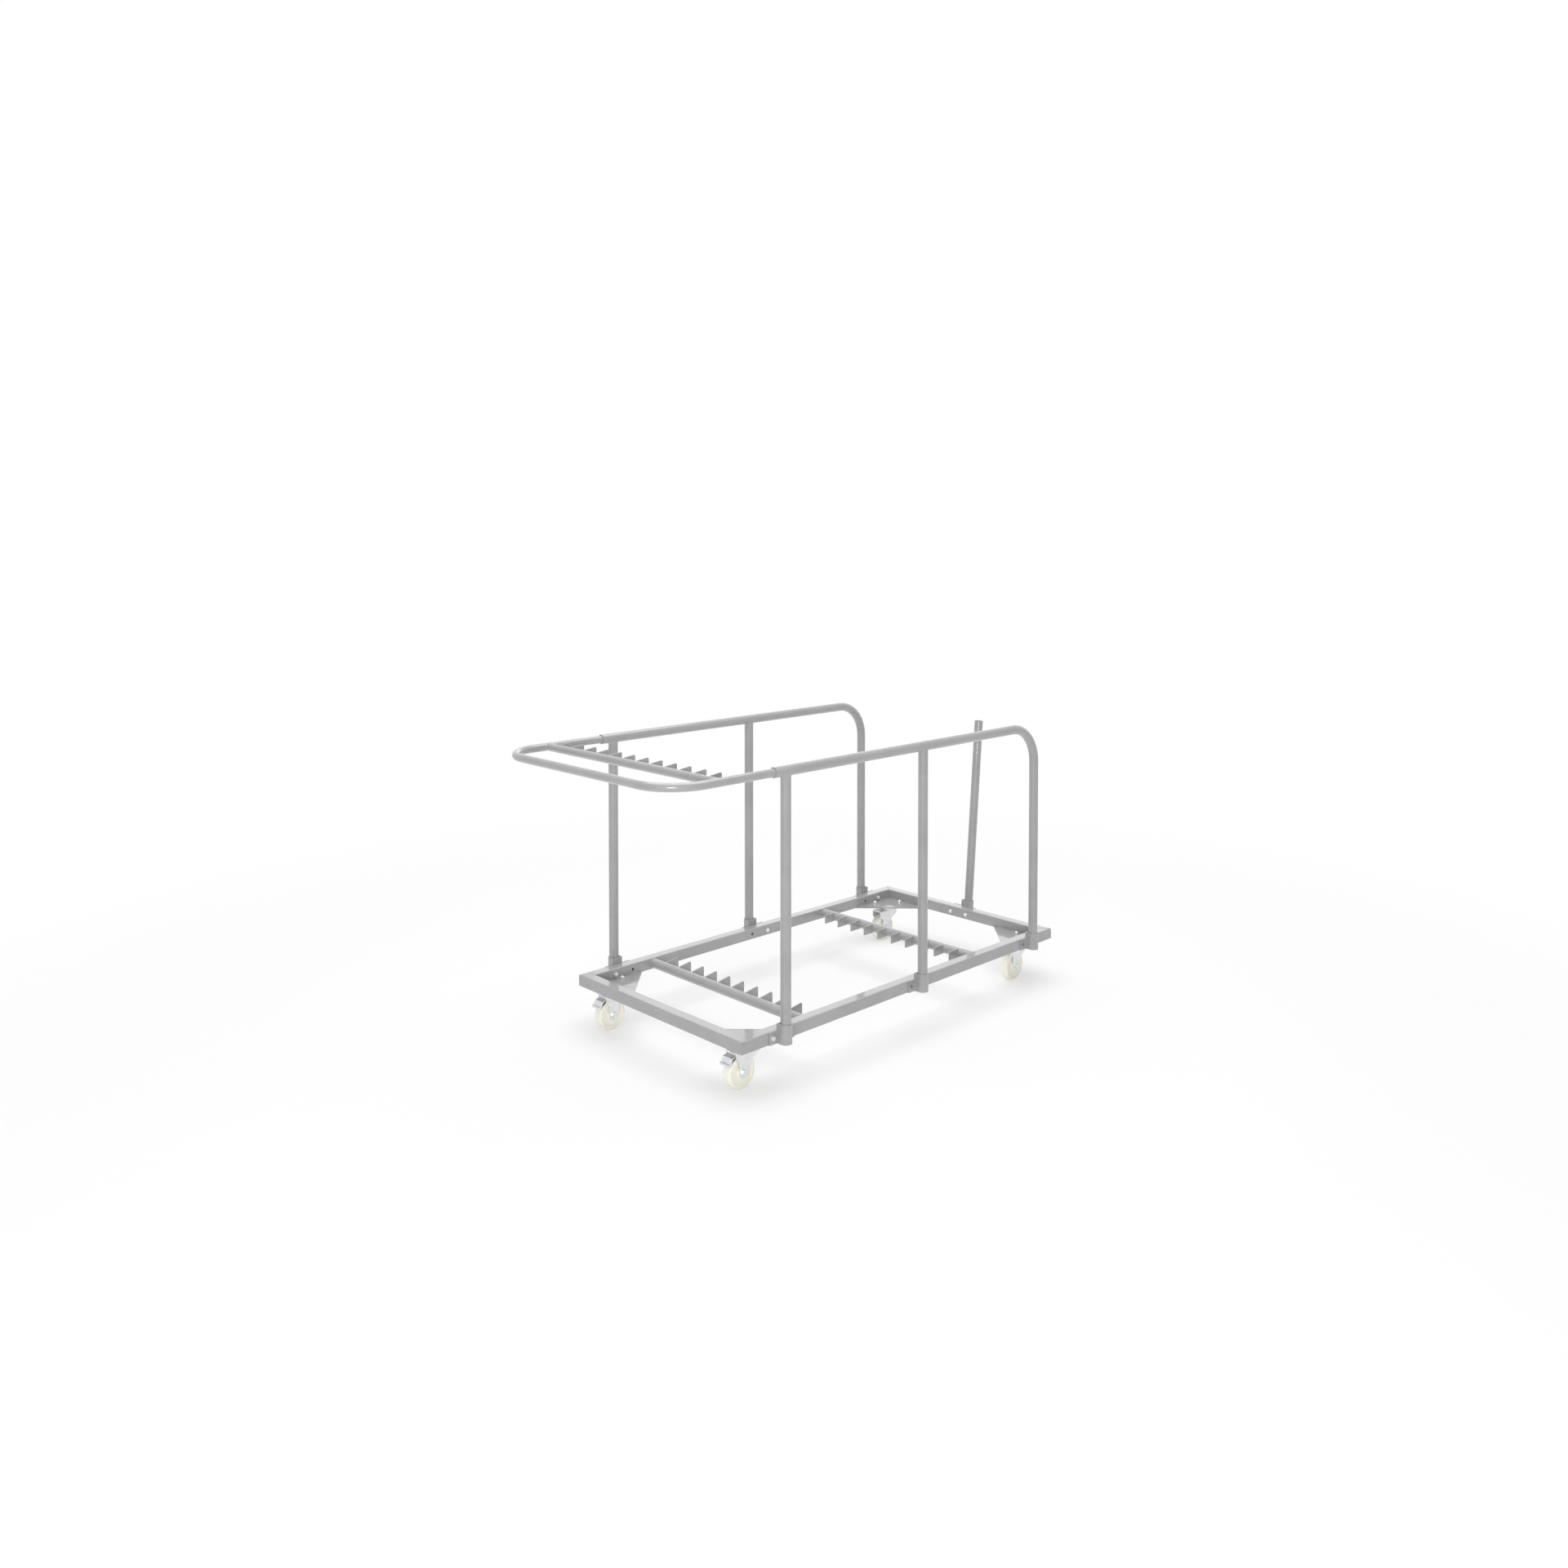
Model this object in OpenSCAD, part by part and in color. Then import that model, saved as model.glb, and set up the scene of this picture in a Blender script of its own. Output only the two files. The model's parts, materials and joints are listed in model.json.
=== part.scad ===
// Trolley for round banquet tables: a box-tube base on four casters, two guard rails,
// a plug-in handle, three combs that keep the table tops apart and a lift-out end post.
// The handle points to -X, and +Y is the left side of a person who pushes it.

/* [Base frame] */
// Length of the base over the rails
base_l = 1520; // [1420:10:1700]
// Width of the base over the rails
base_w = 790; // [770:10:900]
// Side of the square box tube
rail = 38; // [36:1:42]
// Wall of the box tube
rail_wall = 2.5; // [2:0.5:4]
// Leg of each corner gusset, along the inside of a rail
gusset_leg = 192; // [188:2:230]
// Thickness of the gussets
gusset_t = 5; // [4:1:8]

/* [Guard rails] */
// Outer diameter of the guard tubes, posts and cross bars
tube_d = 32; // [30:1:34]
// Wall of those tubes
tube_wall = 3.2; // [2.8:0.1:3.6]
// Height of the guard tube's axis above the floor
guard_z = 928; // [850:2:1000]
// Axis radius of the rear bend
guard_bend = 125; // [110:5:150]
// Front post's axis behind the front of the base
front_post = 155; // [150:5:180]
// Middle post's axis behind the front of the base
mid_post = 770; // [700:10:820]
// Rear post's axis ahead of the rear of the base
rear_post = 141; // [130:1:160]
// Guard tube's length ahead of the front post's axis
guard_lead = 50; // [40:2:60]

/* [Handle] */
// Handle bar's axis ahead of the front of the base
handle_reach = 280; // [265:5:320]
// Axis radius of the handle's bends
handle_bend = 130; // [100:5:135]
// Length of each arm that plugs into a guard tube
handle_insert = 100; // [90:5:120]
// Crossbar's axis ahead of the front of the base
crossbar_reach = 103; // [95:1:108]

/* [Combs] */
// Distance between neighbouring fins
fin_pitch = 66; // [60:1:67]
// Reach of a fin from its bar's axis
fin_reach = 57; // [50:1:64]
// Height of a fin
fin_h = 32; // [28:1:36]
// Thickness of a fin
fin_t = 4; // [3:0.5:5]
// Fins on each lower bar
low_fins = 10; // [8:2:10]
// Fins on the handle's crossbar
top_fins = 12; // [8:2:12]
// Front bar's axis behind the front of the base
front_bar = 280; // [270:5:320]
// Rear bar's axis ahead of the rear of the base
rear_bar = 411; // [380:1:430]

/* [Sockets and end post] */
// Sheet thickness of the sockets
socket_t = 3; // [2.5:0.5:4]
// Socket's height above the top of the rail
socket_rise = 20; // [15:1:30]
// Distance of each socket bolt from the post's axis
bolt_offset = 36; // [34:1:40]
// Outward lean of the end post in degrees
end_lean = 4.9; // [3:0.1:6]
// Top of the end post above its socket's bottom, along the post
end_top = 752; // [650:2:800]

/* [Casters] */
// Height of a caster from the floor to the base
caster_h = 134; // [132:1:142]
// Wheel diameter
wheel_d = 100; // [96:1:101]
// Tread width of a wheel
wheel_w = 32; // [28:1:34]
// Axle's distance behind the swivel axis
trail = 33; // [30:1:36]
// Swivel axis inside the end of the base
caster_end = 96; // [94:1:100]
// Swivel axis inside the side of the base
caster_side = 82; // [81:1:90]
// Top plate, along the trolley
plate_l = 105; // [100:1:108]
// Top plate, across the trolley
plate_w = 85; // [80:1:88]
// Bolt spacing along the top plate
hole_l = 80; // [78:1:82]
// Bolt spacing across the top plate
hole_w = 60; // [58:1:62]

/* [Brakes] */
// Reach of a pedal behind its pivot
pedal_reach = 38; // [36:1:46]
// Width of a pedal
pedal_w = 40; // [38:1:50]
// Travel of a pedal in degrees, from free to braked
pedal_travel = 9; // [7:0.5:10]

/* [Hidden] */
$fn = 64;

// Gaps: sliding clearance, seated contact, running fit and plug fit
slide_gap = 0.3;
seat_gap = 0.02;
run_fit = 0.05;
plug_fit = 0.08;
// Extra length of a cutter past the face it opens
over = 1;

// Colours
paint = [0.66, 0.67, 0.68];
zinc = [0.78, 0.79, 0.80];
ivory = [0.93, 0.90, 0.78];
black = [0.08, 0.08, 0.08];

// Tubes: the inner corner radius of the box tube comes first
rail_bend = 1.5;
tube_r = tube_d / 2;
bore_r = tube_r - tube_wall;
handle_r = bore_r - plug_fit;
handle_wall = 2;
cope_gap = 0.05;

// Sockets, measured outward from the rail's face
post_off = socket_t + slide_gap + tube_r;
sleeve_in = tube_r + slide_gap;
sleeve_out = sleeve_in + socket_t;
sleeve_h = rail + socket_rise;
flange_side = 14;
flange_half = bolt_offset + flange_side;

// Fasteners: thread size, width across flats and heights for both bolt sizes
m8 = 8;
m8_flats = 13;
m8_head = 5.5;
m8_nut = 6.5;
m8_tail = 3;
m8_hole = 9;
m10 = 10;
m10_flats = 17;
m10_head = 6.4;
m10_nut = 8;
m10_tail = 3;

// Plan of the base, with the whole trolley centred on the origin
back_reach = base_l + (post_off + tube_r) * cos(end_lean) + end_top * sin(end_lean);
fore_reach = handle_reach + handle_r;
base_x0 = (fore_reach - back_reach) / 2;
base_x1 = base_x0 + base_l;
side_y = base_w / 2;
guard_y = side_y + post_off;

// Heights
rail_z = caster_h;
rail_top = rail_z + rail;
rail_mid = rail_z + rail / 2;
post_foot = rail_z + socket_t;

// Places along the trolley
front_post_x = base_x0 + front_post;
mid_post_x = base_x0 + mid_post;
rear_post_x = base_x1 - rear_post;
guard_x0 = front_post_x - guard_lead;
handle_x = base_x0 - handle_reach;
arm_end_x = guard_x0 + handle_insert;
crossbar_x = base_x0 - crossbar_reach;
front_bar_x = base_x0 + front_bar;
rear_bar_x = base_x1 - rear_bar;
front_caster_x = base_x0 + caster_end;
rear_caster_x = base_x1 - caster_end;
caster_y = side_y - caster_side;

// Combs: a fin's root inside its bar's curve, the rounding of its tip and the tops of the rows
fin_root = 8;
fin_round = 9;
front_fin_rise = 4;
top_fin_rise = 15;
front_fin_top = rail_top + front_fin_rise;
rear_fin_top = rail_mid - tube_r + fin_h;
top_fin_top = guard_z + top_fin_rise;

// Casters, upward from the floor
axle_z = wheel_d / 2;
plate_t = 4;
plate_round = 9;
race_h = 6;
race_gap = 0.4;
dish_h = 4;
crown_t = 4;
crown_z = caster_h - plate_t - race_h - race_gap - dish_h;
race_d = 62;
dish_d = 52;
kingpin_r = 6;
kingpin_head_r = 12;
kingpin_head_h = 4;
kingpin_taper = 2;
fork_gap = 38;
fork_t = 3;
fork_half = fork_gap / 2 + fork_t;
fork_bend = 4;
leg_r = 17;
leg_flare = 7;
leg_turn = 20;

// Fork wings: reach behind the axle and ahead of the swivel axis, and depth at four places
wing_back = 30;
wing_front = 31;
wing_back_h = 24;
wing_front_h = 18;
leg_back_h = 36;
leg_front_h = 42;

// Wheel and the spacer tube that it turns on
spacer_r = 8;
hub_r = 17;
hub_half = fork_gap / 2 - slide_gap;
rim_t = 11;
web_recess = 1.5;
web_half = wheel_w / 2 - web_recess;
tread_round = 6;

// Brakes: the pivot relative to the axle, the pedal's sheet and the pad under it
pivot_back = 20;
pivot_rise = 6;
pivot_up = wheel_d / 2 + pivot_rise;
pivot_r = 3;
pivot_head_r = 5;
pivot_head = 2;
pedal_hub_r = 6;
pedal_t = 3;
pedal_bend = 22;
pedal_bend_drop = 6;
pedal_bend_r = 1.7;
pedal_drop = 28;
pedal_lip = 11;
pedal_lip_lean = 3.5;
pedal_arm_w = 34;
pedal_clear = 13;
pad_near = 6;
pad_far = 20;
pad_w = 32;
pad_gap = 0.5;
pad_depth = 24;

// Shapes that repeat

module ring(outer, inner) {
    difference() {
        circle(r = outer);
        circle(r = inner);
    }
}

module rounded_rect(l, w, r) {
    square([l - 2 * r, w], center = true);
    square([l, w - 2 * r], center = true);
    for (x = [-1, 1], y = [-1, 1])
        translate([x * (l / 2 - r), y * (w / 2 - r)]) circle(r = r);
}

// Cylinder along X or Y, from a point on its axis
module rod_x(r, l) {
    rotate([0, 90, 0]) cylinder(r = r, h = l);
}

module rod_y(r, l) {
    rotate([-90, 0, 0]) cylinder(r = r, h = l);
}

module hexagon(flats, h) {
    cylinder(d = flats / cos(30), h = h, $fn = 6);
}

// Hexagon bolt with its head's bearing face at z = 0 and its shank downward
module bolt(size, flats, head, l) {
    hexagon(flats, head);
    translate([0, 0, -l]) cylinder(d = size, h = l);
}

// Nut with its bearing face at z = 0
module nut(size, flats, h) {
    difference() {
        hexagon(flats, h);
        translate([0, 0, -over]) cylinder(d = size + 2 * seat_gap, h = h + 2 * over);
    }
}

// Section of the box tube, with its lower outer corner at the origin
module rail_section() {
    hollow = rail - 2 * rail_wall;
    translate([rail / 2, rail / 2]) difference() {
        rounded_rect(rail, rail, rail_bend + rail_wall);
        rounded_rect(hollow, hollow, rail_bend);
    }
}

// Rail of length l along X, outer face towards -Y, mitred at both ends
module mitred_rail(l) {
    end = l / 2 + over;
    difference() {
        translate([-l / 2, 0, 0]) rotate([90, 0, 90]) linear_extrude(l) rail_section();
        for (s = [-1, 1]) translate([0, 0, -over]) linear_extrude(rail + 2 * over)
            polygon([[s * end, -over], [s * (l / 2 - rail - over), rail + over], [s * end, rail + over]]);
    }
}

// Holes through a rail for the two bolts of a socket at x
module socket_holes(x) {
    for (s = [-1, 1])
        translate([x + s * bolt_offset, -over, rail / 2]) rod_y(m8_hole / 2, rail + 2 * over);
}

// Long rail drawn on the -Y side, with its three pairs of socket holes
module long_rail() {
    translate([0, -side_y, rail_z]) difference() {
        translate([(base_x0 + base_x1) / 2, 0, 0]) mitred_rail(base_l);
        for (x = [front_post_x, mid_post_x, rear_post_x]) socket_holes(x);
    }
}

// Corner gusset with its right angle towards -X and -Y, and the caster's bolt holes
module gusset() {
    corner = [rail, rail];
    difference() {
        linear_extrude(gusset_t)
            polygon([corner, corner + [gusset_leg, 0], corner + [0, gusset_leg]]);
        translate([caster_end, caster_side, -over]) at_bolt_pair(-1, -1)
            cylinder(d = m8_hole, h = gusset_t + 2 * over);
    }
}

// Gusset moved to the corner named by the signs of its X and Y
module gusset_at(sx, sy) {
    x = sx < 0 ? base_x0 : base_x1;
    color(paint) translate([x, sy * side_y, rail_z])
        mirror([sx > 0 ? 1 : 0, 0, 0]) mirror([0, sy > 0 ? 1 : 0, 0]) gusset();
}

// Four holes in a caster's plate
module plate_holes(t) {
    for (x = [-1, 1], y = [-1, 1])
        translate([x * hole_l / 2, y * hole_w / 2, -over]) cylinder(d = m8_hole, h = t + 2 * over);
}

// Cross bar between the long rails
module cross_bar(x) {
    l = base_w - 2 * rail;
    translate([x, -l / 2, rail_mid]) rotate([-90, 0, 0]) linear_extrude(l) ring(tube_r, bore_r);
}

// Fin outline in X and Z from its bar's axis, reaching to +X, with its top at height up
module fin_outline(up, bar_r) {
    difference() {
        union() {
            translate([fin_root, up - fin_h]) square([fin_reach - fin_root, fin_h - fin_round]);
            translate([fin_root, up - fin_h]) square([fin_reach - fin_root - fin_round, fin_h]);
            translate([fin_reach - fin_round, up - fin_round]) circle(r = fin_round);
        }
        circle(r = bar_r + seat_gap);
    }
}

// Row of fins along Y, centred on Y = 0
module fin_row(count, up, bar_r) {
    for (i = [0 : count - 1])
        translate([0, (i - (count - 1) / 2) * fin_pitch + fin_t / 2, 0])
            rotate([90, 0, 0]) linear_extrude(fin_t) fin_outline(up, bar_r);
}

// Guard tube drawn on the -Y side: straight run, rear bend and rear post
module guard() {
    run = rear_post_x - guard_bend - guard_x0;
    drop = guard_z - guard_bend - post_foot;
    translate([guard_x0, -guard_y, guard_z]) rotate([0, 90, 0]) linear_extrude(run) ring(tube_r, bore_r);
    translate([rear_post_x - guard_bend, -guard_y, guard_z - guard_bend])
        rotate([90, 0, 0]) rotate_extrude(angle = 90) translate([guard_bend, 0]) ring(tube_r, bore_r);
    translate([rear_post_x, -guard_y, post_foot]) linear_extrude(drop) ring(tube_r, bore_r);
}

// Straight post drawn on the -Y side, cut to the guard tube's curve
module guard_post(x) {
    difference() {
        translate([x, -guard_y, post_foot]) linear_extrude(guard_z - post_foot) ring(tube_r, bore_r);
        translate([x - tube_d, -guard_y, guard_z]) rod_x(tube_r + cope_gap, 2 * tube_d);
    }
}

// Socket with its back on the plane x = 0, its bottom at z = 0 and its sleeve leaning outward
module socket(lean) {
    difference() {
        union() {
            translate([0, -flange_half, 0]) cube([socket_t, 2 * flange_half, rail]);
            translate([0, sleeve_out, 0]) rotate([90, 0, 0]) linear_extrude(2 * sleeve_out)
                polygon([[0, 0], [socket_t, 0], [socket_t + rail * tan(lean), rail], [0, rail]]);
            rotate([0, lean, 0]) linear_extrude(sleeve_h) sleeve_outline(0, sleeve_out);
        }
        rotate([0, lean, 0]) translate([0, 0, socket_t])
            linear_extrude(sleeve_h) sleeve_outline(socket_t, sleeve_in);
        for (y = [-bolt_offset, bolt_offset])
            translate([-over, y, rail / 2]) rod_x(m8_hole / 2, socket_t + 2 * over);
    }
}

// D-shaped outline: flat at x = back, round about the post's axis
module sleeve_outline(back, r) {
    translate([back, -r]) square([post_off - back, 2 * r]);
    translate([post_off, 0]) circle(r = r);
}

// Moves a socket, or what is drawn in its frame, to a long rail or to the rear rail
module on_side(x, sy) {
    translate([x, sy * side_y, rail_z]) rotate([0, 0, sy * 90]) children();
}

module on_end() {
    translate([base_x1, 0, rail_z]) children();
}

// Through bolt of a socket and its nut, in the socket's frame, y from the post's axis
module socket_bolt(y) {
    grip = rail + socket_t;
    translate([socket_t, y, rail / 2]) rotate([0, 90, 0])
        bolt(m8, m8_flats, m8_head, grip + m8_nut + m8_tail);
}

module socket_nut(y) {
    translate([-rail, y, rail / 2]) rotate([0, -90, 0]) nut(m8, m8_flats, m8_nut);
}

// Bolts in use: one in each socket on the sides, towards the nearer end, and two in the end socket.
// A socket's y runs to -X on the left side and to +X on the right side.
module at_socket_bolts() {
    for (sy = [-1, 1]) {
        on_side(front_post_x, sy) translate([0, sy * bolt_offset, 0]) children();
        on_side(mid_post_x, sy) translate([0, -sy * bolt_offset, 0]) children();
        on_side(rear_post_x, sy) translate([0, -sy * bolt_offset, 0]) children();
    }
    for (y = [-bolt_offset, bolt_offset]) on_end() translate([0, y, 0]) children();
}

// Moves a caster, drawn about its swivel axis from the floor up, to a corner
module at_caster(sx, sy) {
    translate([sx < 0 ? front_caster_x : rear_caster_x, sy * caster_y, 0]) children();
}

// The two bolts in use in a caster's plate: near the end rail and near the side rail
module at_bolt_pair(sx, sy) {
    for (s = [-1, 1]) translate([s * sx * hole_l / 2, -s * sy * hole_w / 2, 0]) children();
}

module at_caster_bolts() {
    for (sx = [-1, 1], sy = [-1, 1]) at_caster(sx, sy) at_bolt_pair(sx, sy) children();
}

// Caster pieces

module plate() {
    color(zinc) difference() {
        union() {
            translate([0, 0, caster_h - plate_t]) linear_extrude(plate_t)
                rounded_rect(plate_l, plate_w, plate_round);
            translate([0, 0, caster_h - plate_t - race_h])
                cylinder(d1 = race_d - race_h, d2 = race_d, h = race_h);
        }
        translate([0, 0, caster_h - plate_t]) plate_holes(plate_t);
        cylinder(r = kingpin_r + seat_gap, h = caster_h + over);
    }
}

module kingpin() {
    head_z = crown_z - crown_t - slide_gap - kingpin_head_h;
    color(zinc) {
        translate([0, 0, head_z]) cylinder(r = kingpin_r, h = caster_h - head_z);
        translate([0, 0, head_z])
            cylinder(r1 = kingpin_head_r - kingpin_taper, r2 = kingpin_head_r, h = kingpin_head_h);
    }
}

// Outline of a fork leg in X and Z: a strip round the axle and a wing under the crown
module leg_outline(brake) {
    leg_rear = leg_r + leg_flare - trail;
    difference() {
        union() {
            translate([-trail, axle_z]) circle(r = leg_r);
            polygon([
                [-trail - leg_r, axle_z], [-trail + leg_r * cos(leg_turn), axle_z - leg_r * sin(leg_turn)],
                [leg_rear, axle_z + leg_r], [leg_rear, crown_z], [-trail - leg_r, crown_z]
            ]);
            polygon([
                [-trail - wing_back, crown_z], [-trail - wing_back, crown_z - wing_back_h],
                [-trail - leg_r, crown_z - leg_back_h], [leg_rear, crown_z - leg_front_h],
                [wing_front, crown_z - wing_front_h], [wing_front, crown_z]
            ]);
        }
        translate([-trail, axle_z]) circle(d = m10 + 2 * seat_gap);
        if (brake) translate([-trail - pivot_back, axle_z + pivot_up]) circle(r = pivot_r + seat_gap);
    }
}

// Block in Y and Z with rounded shoulders under height top
module shoulders(half, top, r) {
    translate([-half, 0]) square([2 * half, top - r]);
    translate([r - half, 0]) square([2 * (half - r), top]);
    for (s = [-1, 1]) translate([s * (half - r), top - r]) circle(r = r);
}

// Channel of the fork's sheet, open downward
module fork_section() {
    difference() {
        shoulders(fork_half, crown_z, fork_bend + fork_t);
        shoulders(fork_gap / 2, crown_z - crown_t, fork_bend);
    }
}

// Fork pressed from sheet: the channel cut to the legs' outline, with the lower race on its crown
module fork(brake) {
    wings = trail + wing_back + wing_front;
    color(zinc) difference() {
        union() {
            intersection() {
                translate([-trail - wing_back - over, 0, 0]) rotate([90, 0, 90])
                    linear_extrude(wings + 2 * over) fork_section();
                translate([0, fork_half + over, 0]) rotate([90, 0, 0])
                    linear_extrude(2 * (fork_half + over)) leg_outline(brake);
            }
            translate([0, 0, crown_z - crown_t]) cylinder(d = dish_d, h = crown_t);
            translate([0, 0, crown_z]) cylinder(d1 = dish_d, d2 = dish_d - dish_h, h = dish_h);
        }
        translate([0, 0, axle_z + wheel_d / 2]) cylinder(r = kingpin_r + run_fit, h = caster_h);
    }
}

// Half outline of a wheel, radius along X and width along Y
module wheel_outline() {
    rim_r = wheel_d / 2;
    translate([rim_r - rim_t, -wheel_w / 2]) square([rim_t - tread_round, wheel_w]);
    translate([rim_r - rim_t, tread_round - wheel_w / 2]) square([rim_t, wheel_w - 2 * tread_round]);
    for (y = [-1, 1])
        translate([rim_r - tread_round, y * (wheel_w / 2 - tread_round)]) circle(r = tread_round);
    translate([hub_r - over, -web_half]) square([rim_r - rim_t - hub_r + 2 * over, 2 * web_half]);
    translate([spacer_r + run_fit, -hub_half]) square([hub_r - spacer_r - run_fit, 2 * hub_half]);
}

module wheel() {
    color(ivory) translate([-trail, 0, axle_z]) rotate([90, 0, 0]) rotate_extrude() wheel_outline();
}

// Axle bolt, the spacer tube that the wheel turns on, and the nut
module axle() {
    color(zinc) translate([-trail, 0, axle_z]) {
        translate([0, -fork_half, 0]) rotate([90, 0, 0])
            bolt(m10, m10_flats, m10_head, 2 * fork_half + m10_nut + m10_tail);
        translate([0, -fork_gap / 2, 0]) rotate([-90, 0, 0])
            linear_extrude(fork_gap) ring(spacer_r, m10 / 2 + seat_gap);
        translate([0, fork_half, 0]) rotate([-90, 0, 0]) nut(m10, m10_flats, m10_nut);
    }
}

// Moves a brake piece, drawn about its pivot, to a caster
module at_pivot() {
    translate([-trail - pivot_back, 0, axle_z + pivot_up]) children();
}

module brake_pin() {
    color(zinc) at_pivot() {
        translate([0, -fork_half, 0]) rod_y(pivot_r, 2 * fork_half);
        translate([0, fork_half, 0]) rod_y(pivot_head_r, pivot_head);
        translate([0, -fork_half - pivot_head, 0]) rod_y(pivot_head_r, pivot_head);
    }
}

// Underside of the pedal's arm at a distance back from the pivot, as far as its bend
arm_slope = pedal_bend_drop / pedal_bend;
function arm_under(back) = -back * arm_slope - pedal_t / 2 * sqrt(1 + arm_slope * arm_slope);

// Side of the pedal in X and Z: an arm from the pivot, a steep tread and a lip that leans outward
module pedal_side() {
    edge = pedal_t / 2;
    bend = [-pedal_bend, -pedal_bend_drop];
    toe = [edge + pedal_lip_lean - pedal_reach, edge - pedal_drop];
    tip = [edge - pedal_reach, pedal_lip - edge - pedal_drop];
    strip([0, 0], bend);
    strip(bend, toe);
    strip(toe, tip);
    for (corner = [bend, toe]) translate(corner) circle(r = pedal_bend_r);
}

// Strip of the pedal's sheet from point a to point b, seen from the side
module strip(a, b) {
    run = b - a;
    translate(a) rotate(atan2(run.y, run.x)) translate([0, -pedal_t / 2]) square([norm(run), pedal_t]);
}

// Pedal, cut narrow where it passes between the fork's legs
module pedal() {
    notch = (pedal_w - pedal_arm_w) / 2;
    color(zinc) at_pivot() difference() {
        union() {
            translate([0, -hub_half, 0]) rod_y(pedal_hub_r, 2 * hub_half);
            difference() {
                translate([0, pedal_w / 2, 0]) rotate([90, 0, 0]) linear_extrude(pedal_w) pedal_side();
                for (y = [-pedal_w / 2 - over, pedal_arm_w / 2])
                    translate([-pedal_clear, y, -pedal_drop])
                        cube([pedal_clear + pedal_t, notch + over, 2 * pedal_drop]);
            }
        }
        translate([0, -hub_half - over, 0]) rod_y(pivot_r + run_fit, 2 * (hub_half + over));
    }
}

// Pad under the pedal, hollowed to the tread as it meets it when the pedal is fully down
module pad() {
    rotated_axle = [
        pivot_back * cos(pedal_travel) - pivot_up * sin(pedal_travel),
        -pivot_back * sin(pedal_travel) - pivot_up * cos(pedal_travel)
    ];
    color(black) at_pivot() translate([0, pad_w / 2, 0]) rotate([90, 0, 0]) linear_extrude(pad_w)
        difference() {
            polygon([
                [-pad_near, arm_under(pad_near)], [-pad_far, arm_under(pad_far)],
                [-pad_far, -pad_depth], [-pad_near, -pad_depth]
            ]);
            translate(rotated_axle) circle(r = wheel_d / 2 + pad_gap);
            circle(r = pedal_hub_r + seat_gap);
        }
}

// Sub-parts: base

module rail_right() {
    color(paint) long_rail();
}

module rail_left() {
    color(paint) mirror([0, 1, 0]) long_rail();
}

module rail_front() {
    color(paint) translate([base_x0, 0, rail_z]) rotate([0, 0, -90]) mitred_rail(base_w);
}

module rail_rear() {
    color(paint) translate([base_x1, 0, rail_z]) rotate([0, 0, 90]) difference() {
        mitred_rail(base_w);
        socket_holes(0);
    }
}

module bar_front() {
    color(paint) cross_bar(front_bar_x);
}

module bar_rear() {
    color(paint) cross_bar(rear_bar_x);
}

module fins_front() {
    color(paint) translate([front_bar_x, 0, rail_mid]) fin_row(low_fins, front_fin_top - rail_mid, tube_r);
}

module fins_rear() {
    color(paint) translate([rear_bar_x, 0, rail_mid]) mirror([1, 0, 0])
        fin_row(low_fins, rear_fin_top - rail_mid, tube_r);
}

// Sub-parts: guard rails, handle and end post

module guard_right() {
    color(paint) guard();
}

module guard_left() {
    color(paint) mirror([0, 1, 0]) guard();
}

module post_right(x) {
    color(paint) guard_post(x);
}

module post_left(x) {
    color(paint) mirror([0, 1, 0]) guard_post(x);
}

module handle() {
    inner_r = handle_r - handle_wall;
    bar_half = guard_y - handle_bend;
    arm_x = handle_x + handle_bend;
    color(paint) {
        translate([handle_x, -bar_half, guard_z]) rotate([-90, 0, 0])
            linear_extrude(2 * bar_half) ring(handle_r, inner_r);
        for (s = [-1, 1]) {
            translate([arm_x, s * bar_half, guard_z]) rotate([0, 0, s > 0 ? 90 : 180])
                rotate_extrude(angle = 90) translate([handle_bend, 0]) ring(handle_r, inner_r);
            translate([arm_x, s * guard_y, guard_z]) rotate([0, 90, 0])
                linear_extrude(arm_end_x - arm_x) ring(handle_r, inner_r);
        }
    }
}

module crossbar() {
    color(paint) difference() {
        translate([crossbar_x, -guard_y, guard_z]) rotate([-90, 0, 0])
            linear_extrude(2 * guard_y) ring(handle_r, handle_r - handle_wall);
        for (y = [-guard_y, guard_y])
            translate([crossbar_x - tube_d, y, guard_z]) rod_x(handle_r + cope_gap, 2 * tube_d);
    }
}

module fins_top() {
    color(paint) translate([crossbar_x, 0, guard_z]) fin_row(top_fins, top_fin_top - guard_z, handle_r);
}

module end_post() {
    foot = socket_t + slide_gap;
    color(paint) on_end() rotate([0, end_lean, 0]) translate([post_off, 0, foot])
        linear_extrude(end_top - foot) ring(tube_r, bore_r);
}

// Sub-parts: sockets and fasteners

module socket_side(x, sy) {
    color(paint) on_side(x, sy) socket(0);
}

module socket_end() {
    color(paint) on_end() socket(end_lean);
}

module socket_bolts() {
    color(zinc) at_socket_bolts() socket_bolt(0);
}

module socket_nuts() {
    color(zinc) at_socket_bolts() socket_nut(0);
}

module caster_bolts() {
    grip = plate_t + gusset_t;
    color(zinc) at_caster_bolts() translate([0, 0, caster_h - plate_t]) mirror([0, 0, 1])
        bolt(m8, m8_flats, m8_head, grip + m8_nut + m8_tail);
}

module caster_nuts() {
    color(zinc) at_caster_bolts() translate([0, 0, caster_h + gusset_t]) nut(m8, m8_flats, m8_nut);
}

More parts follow.
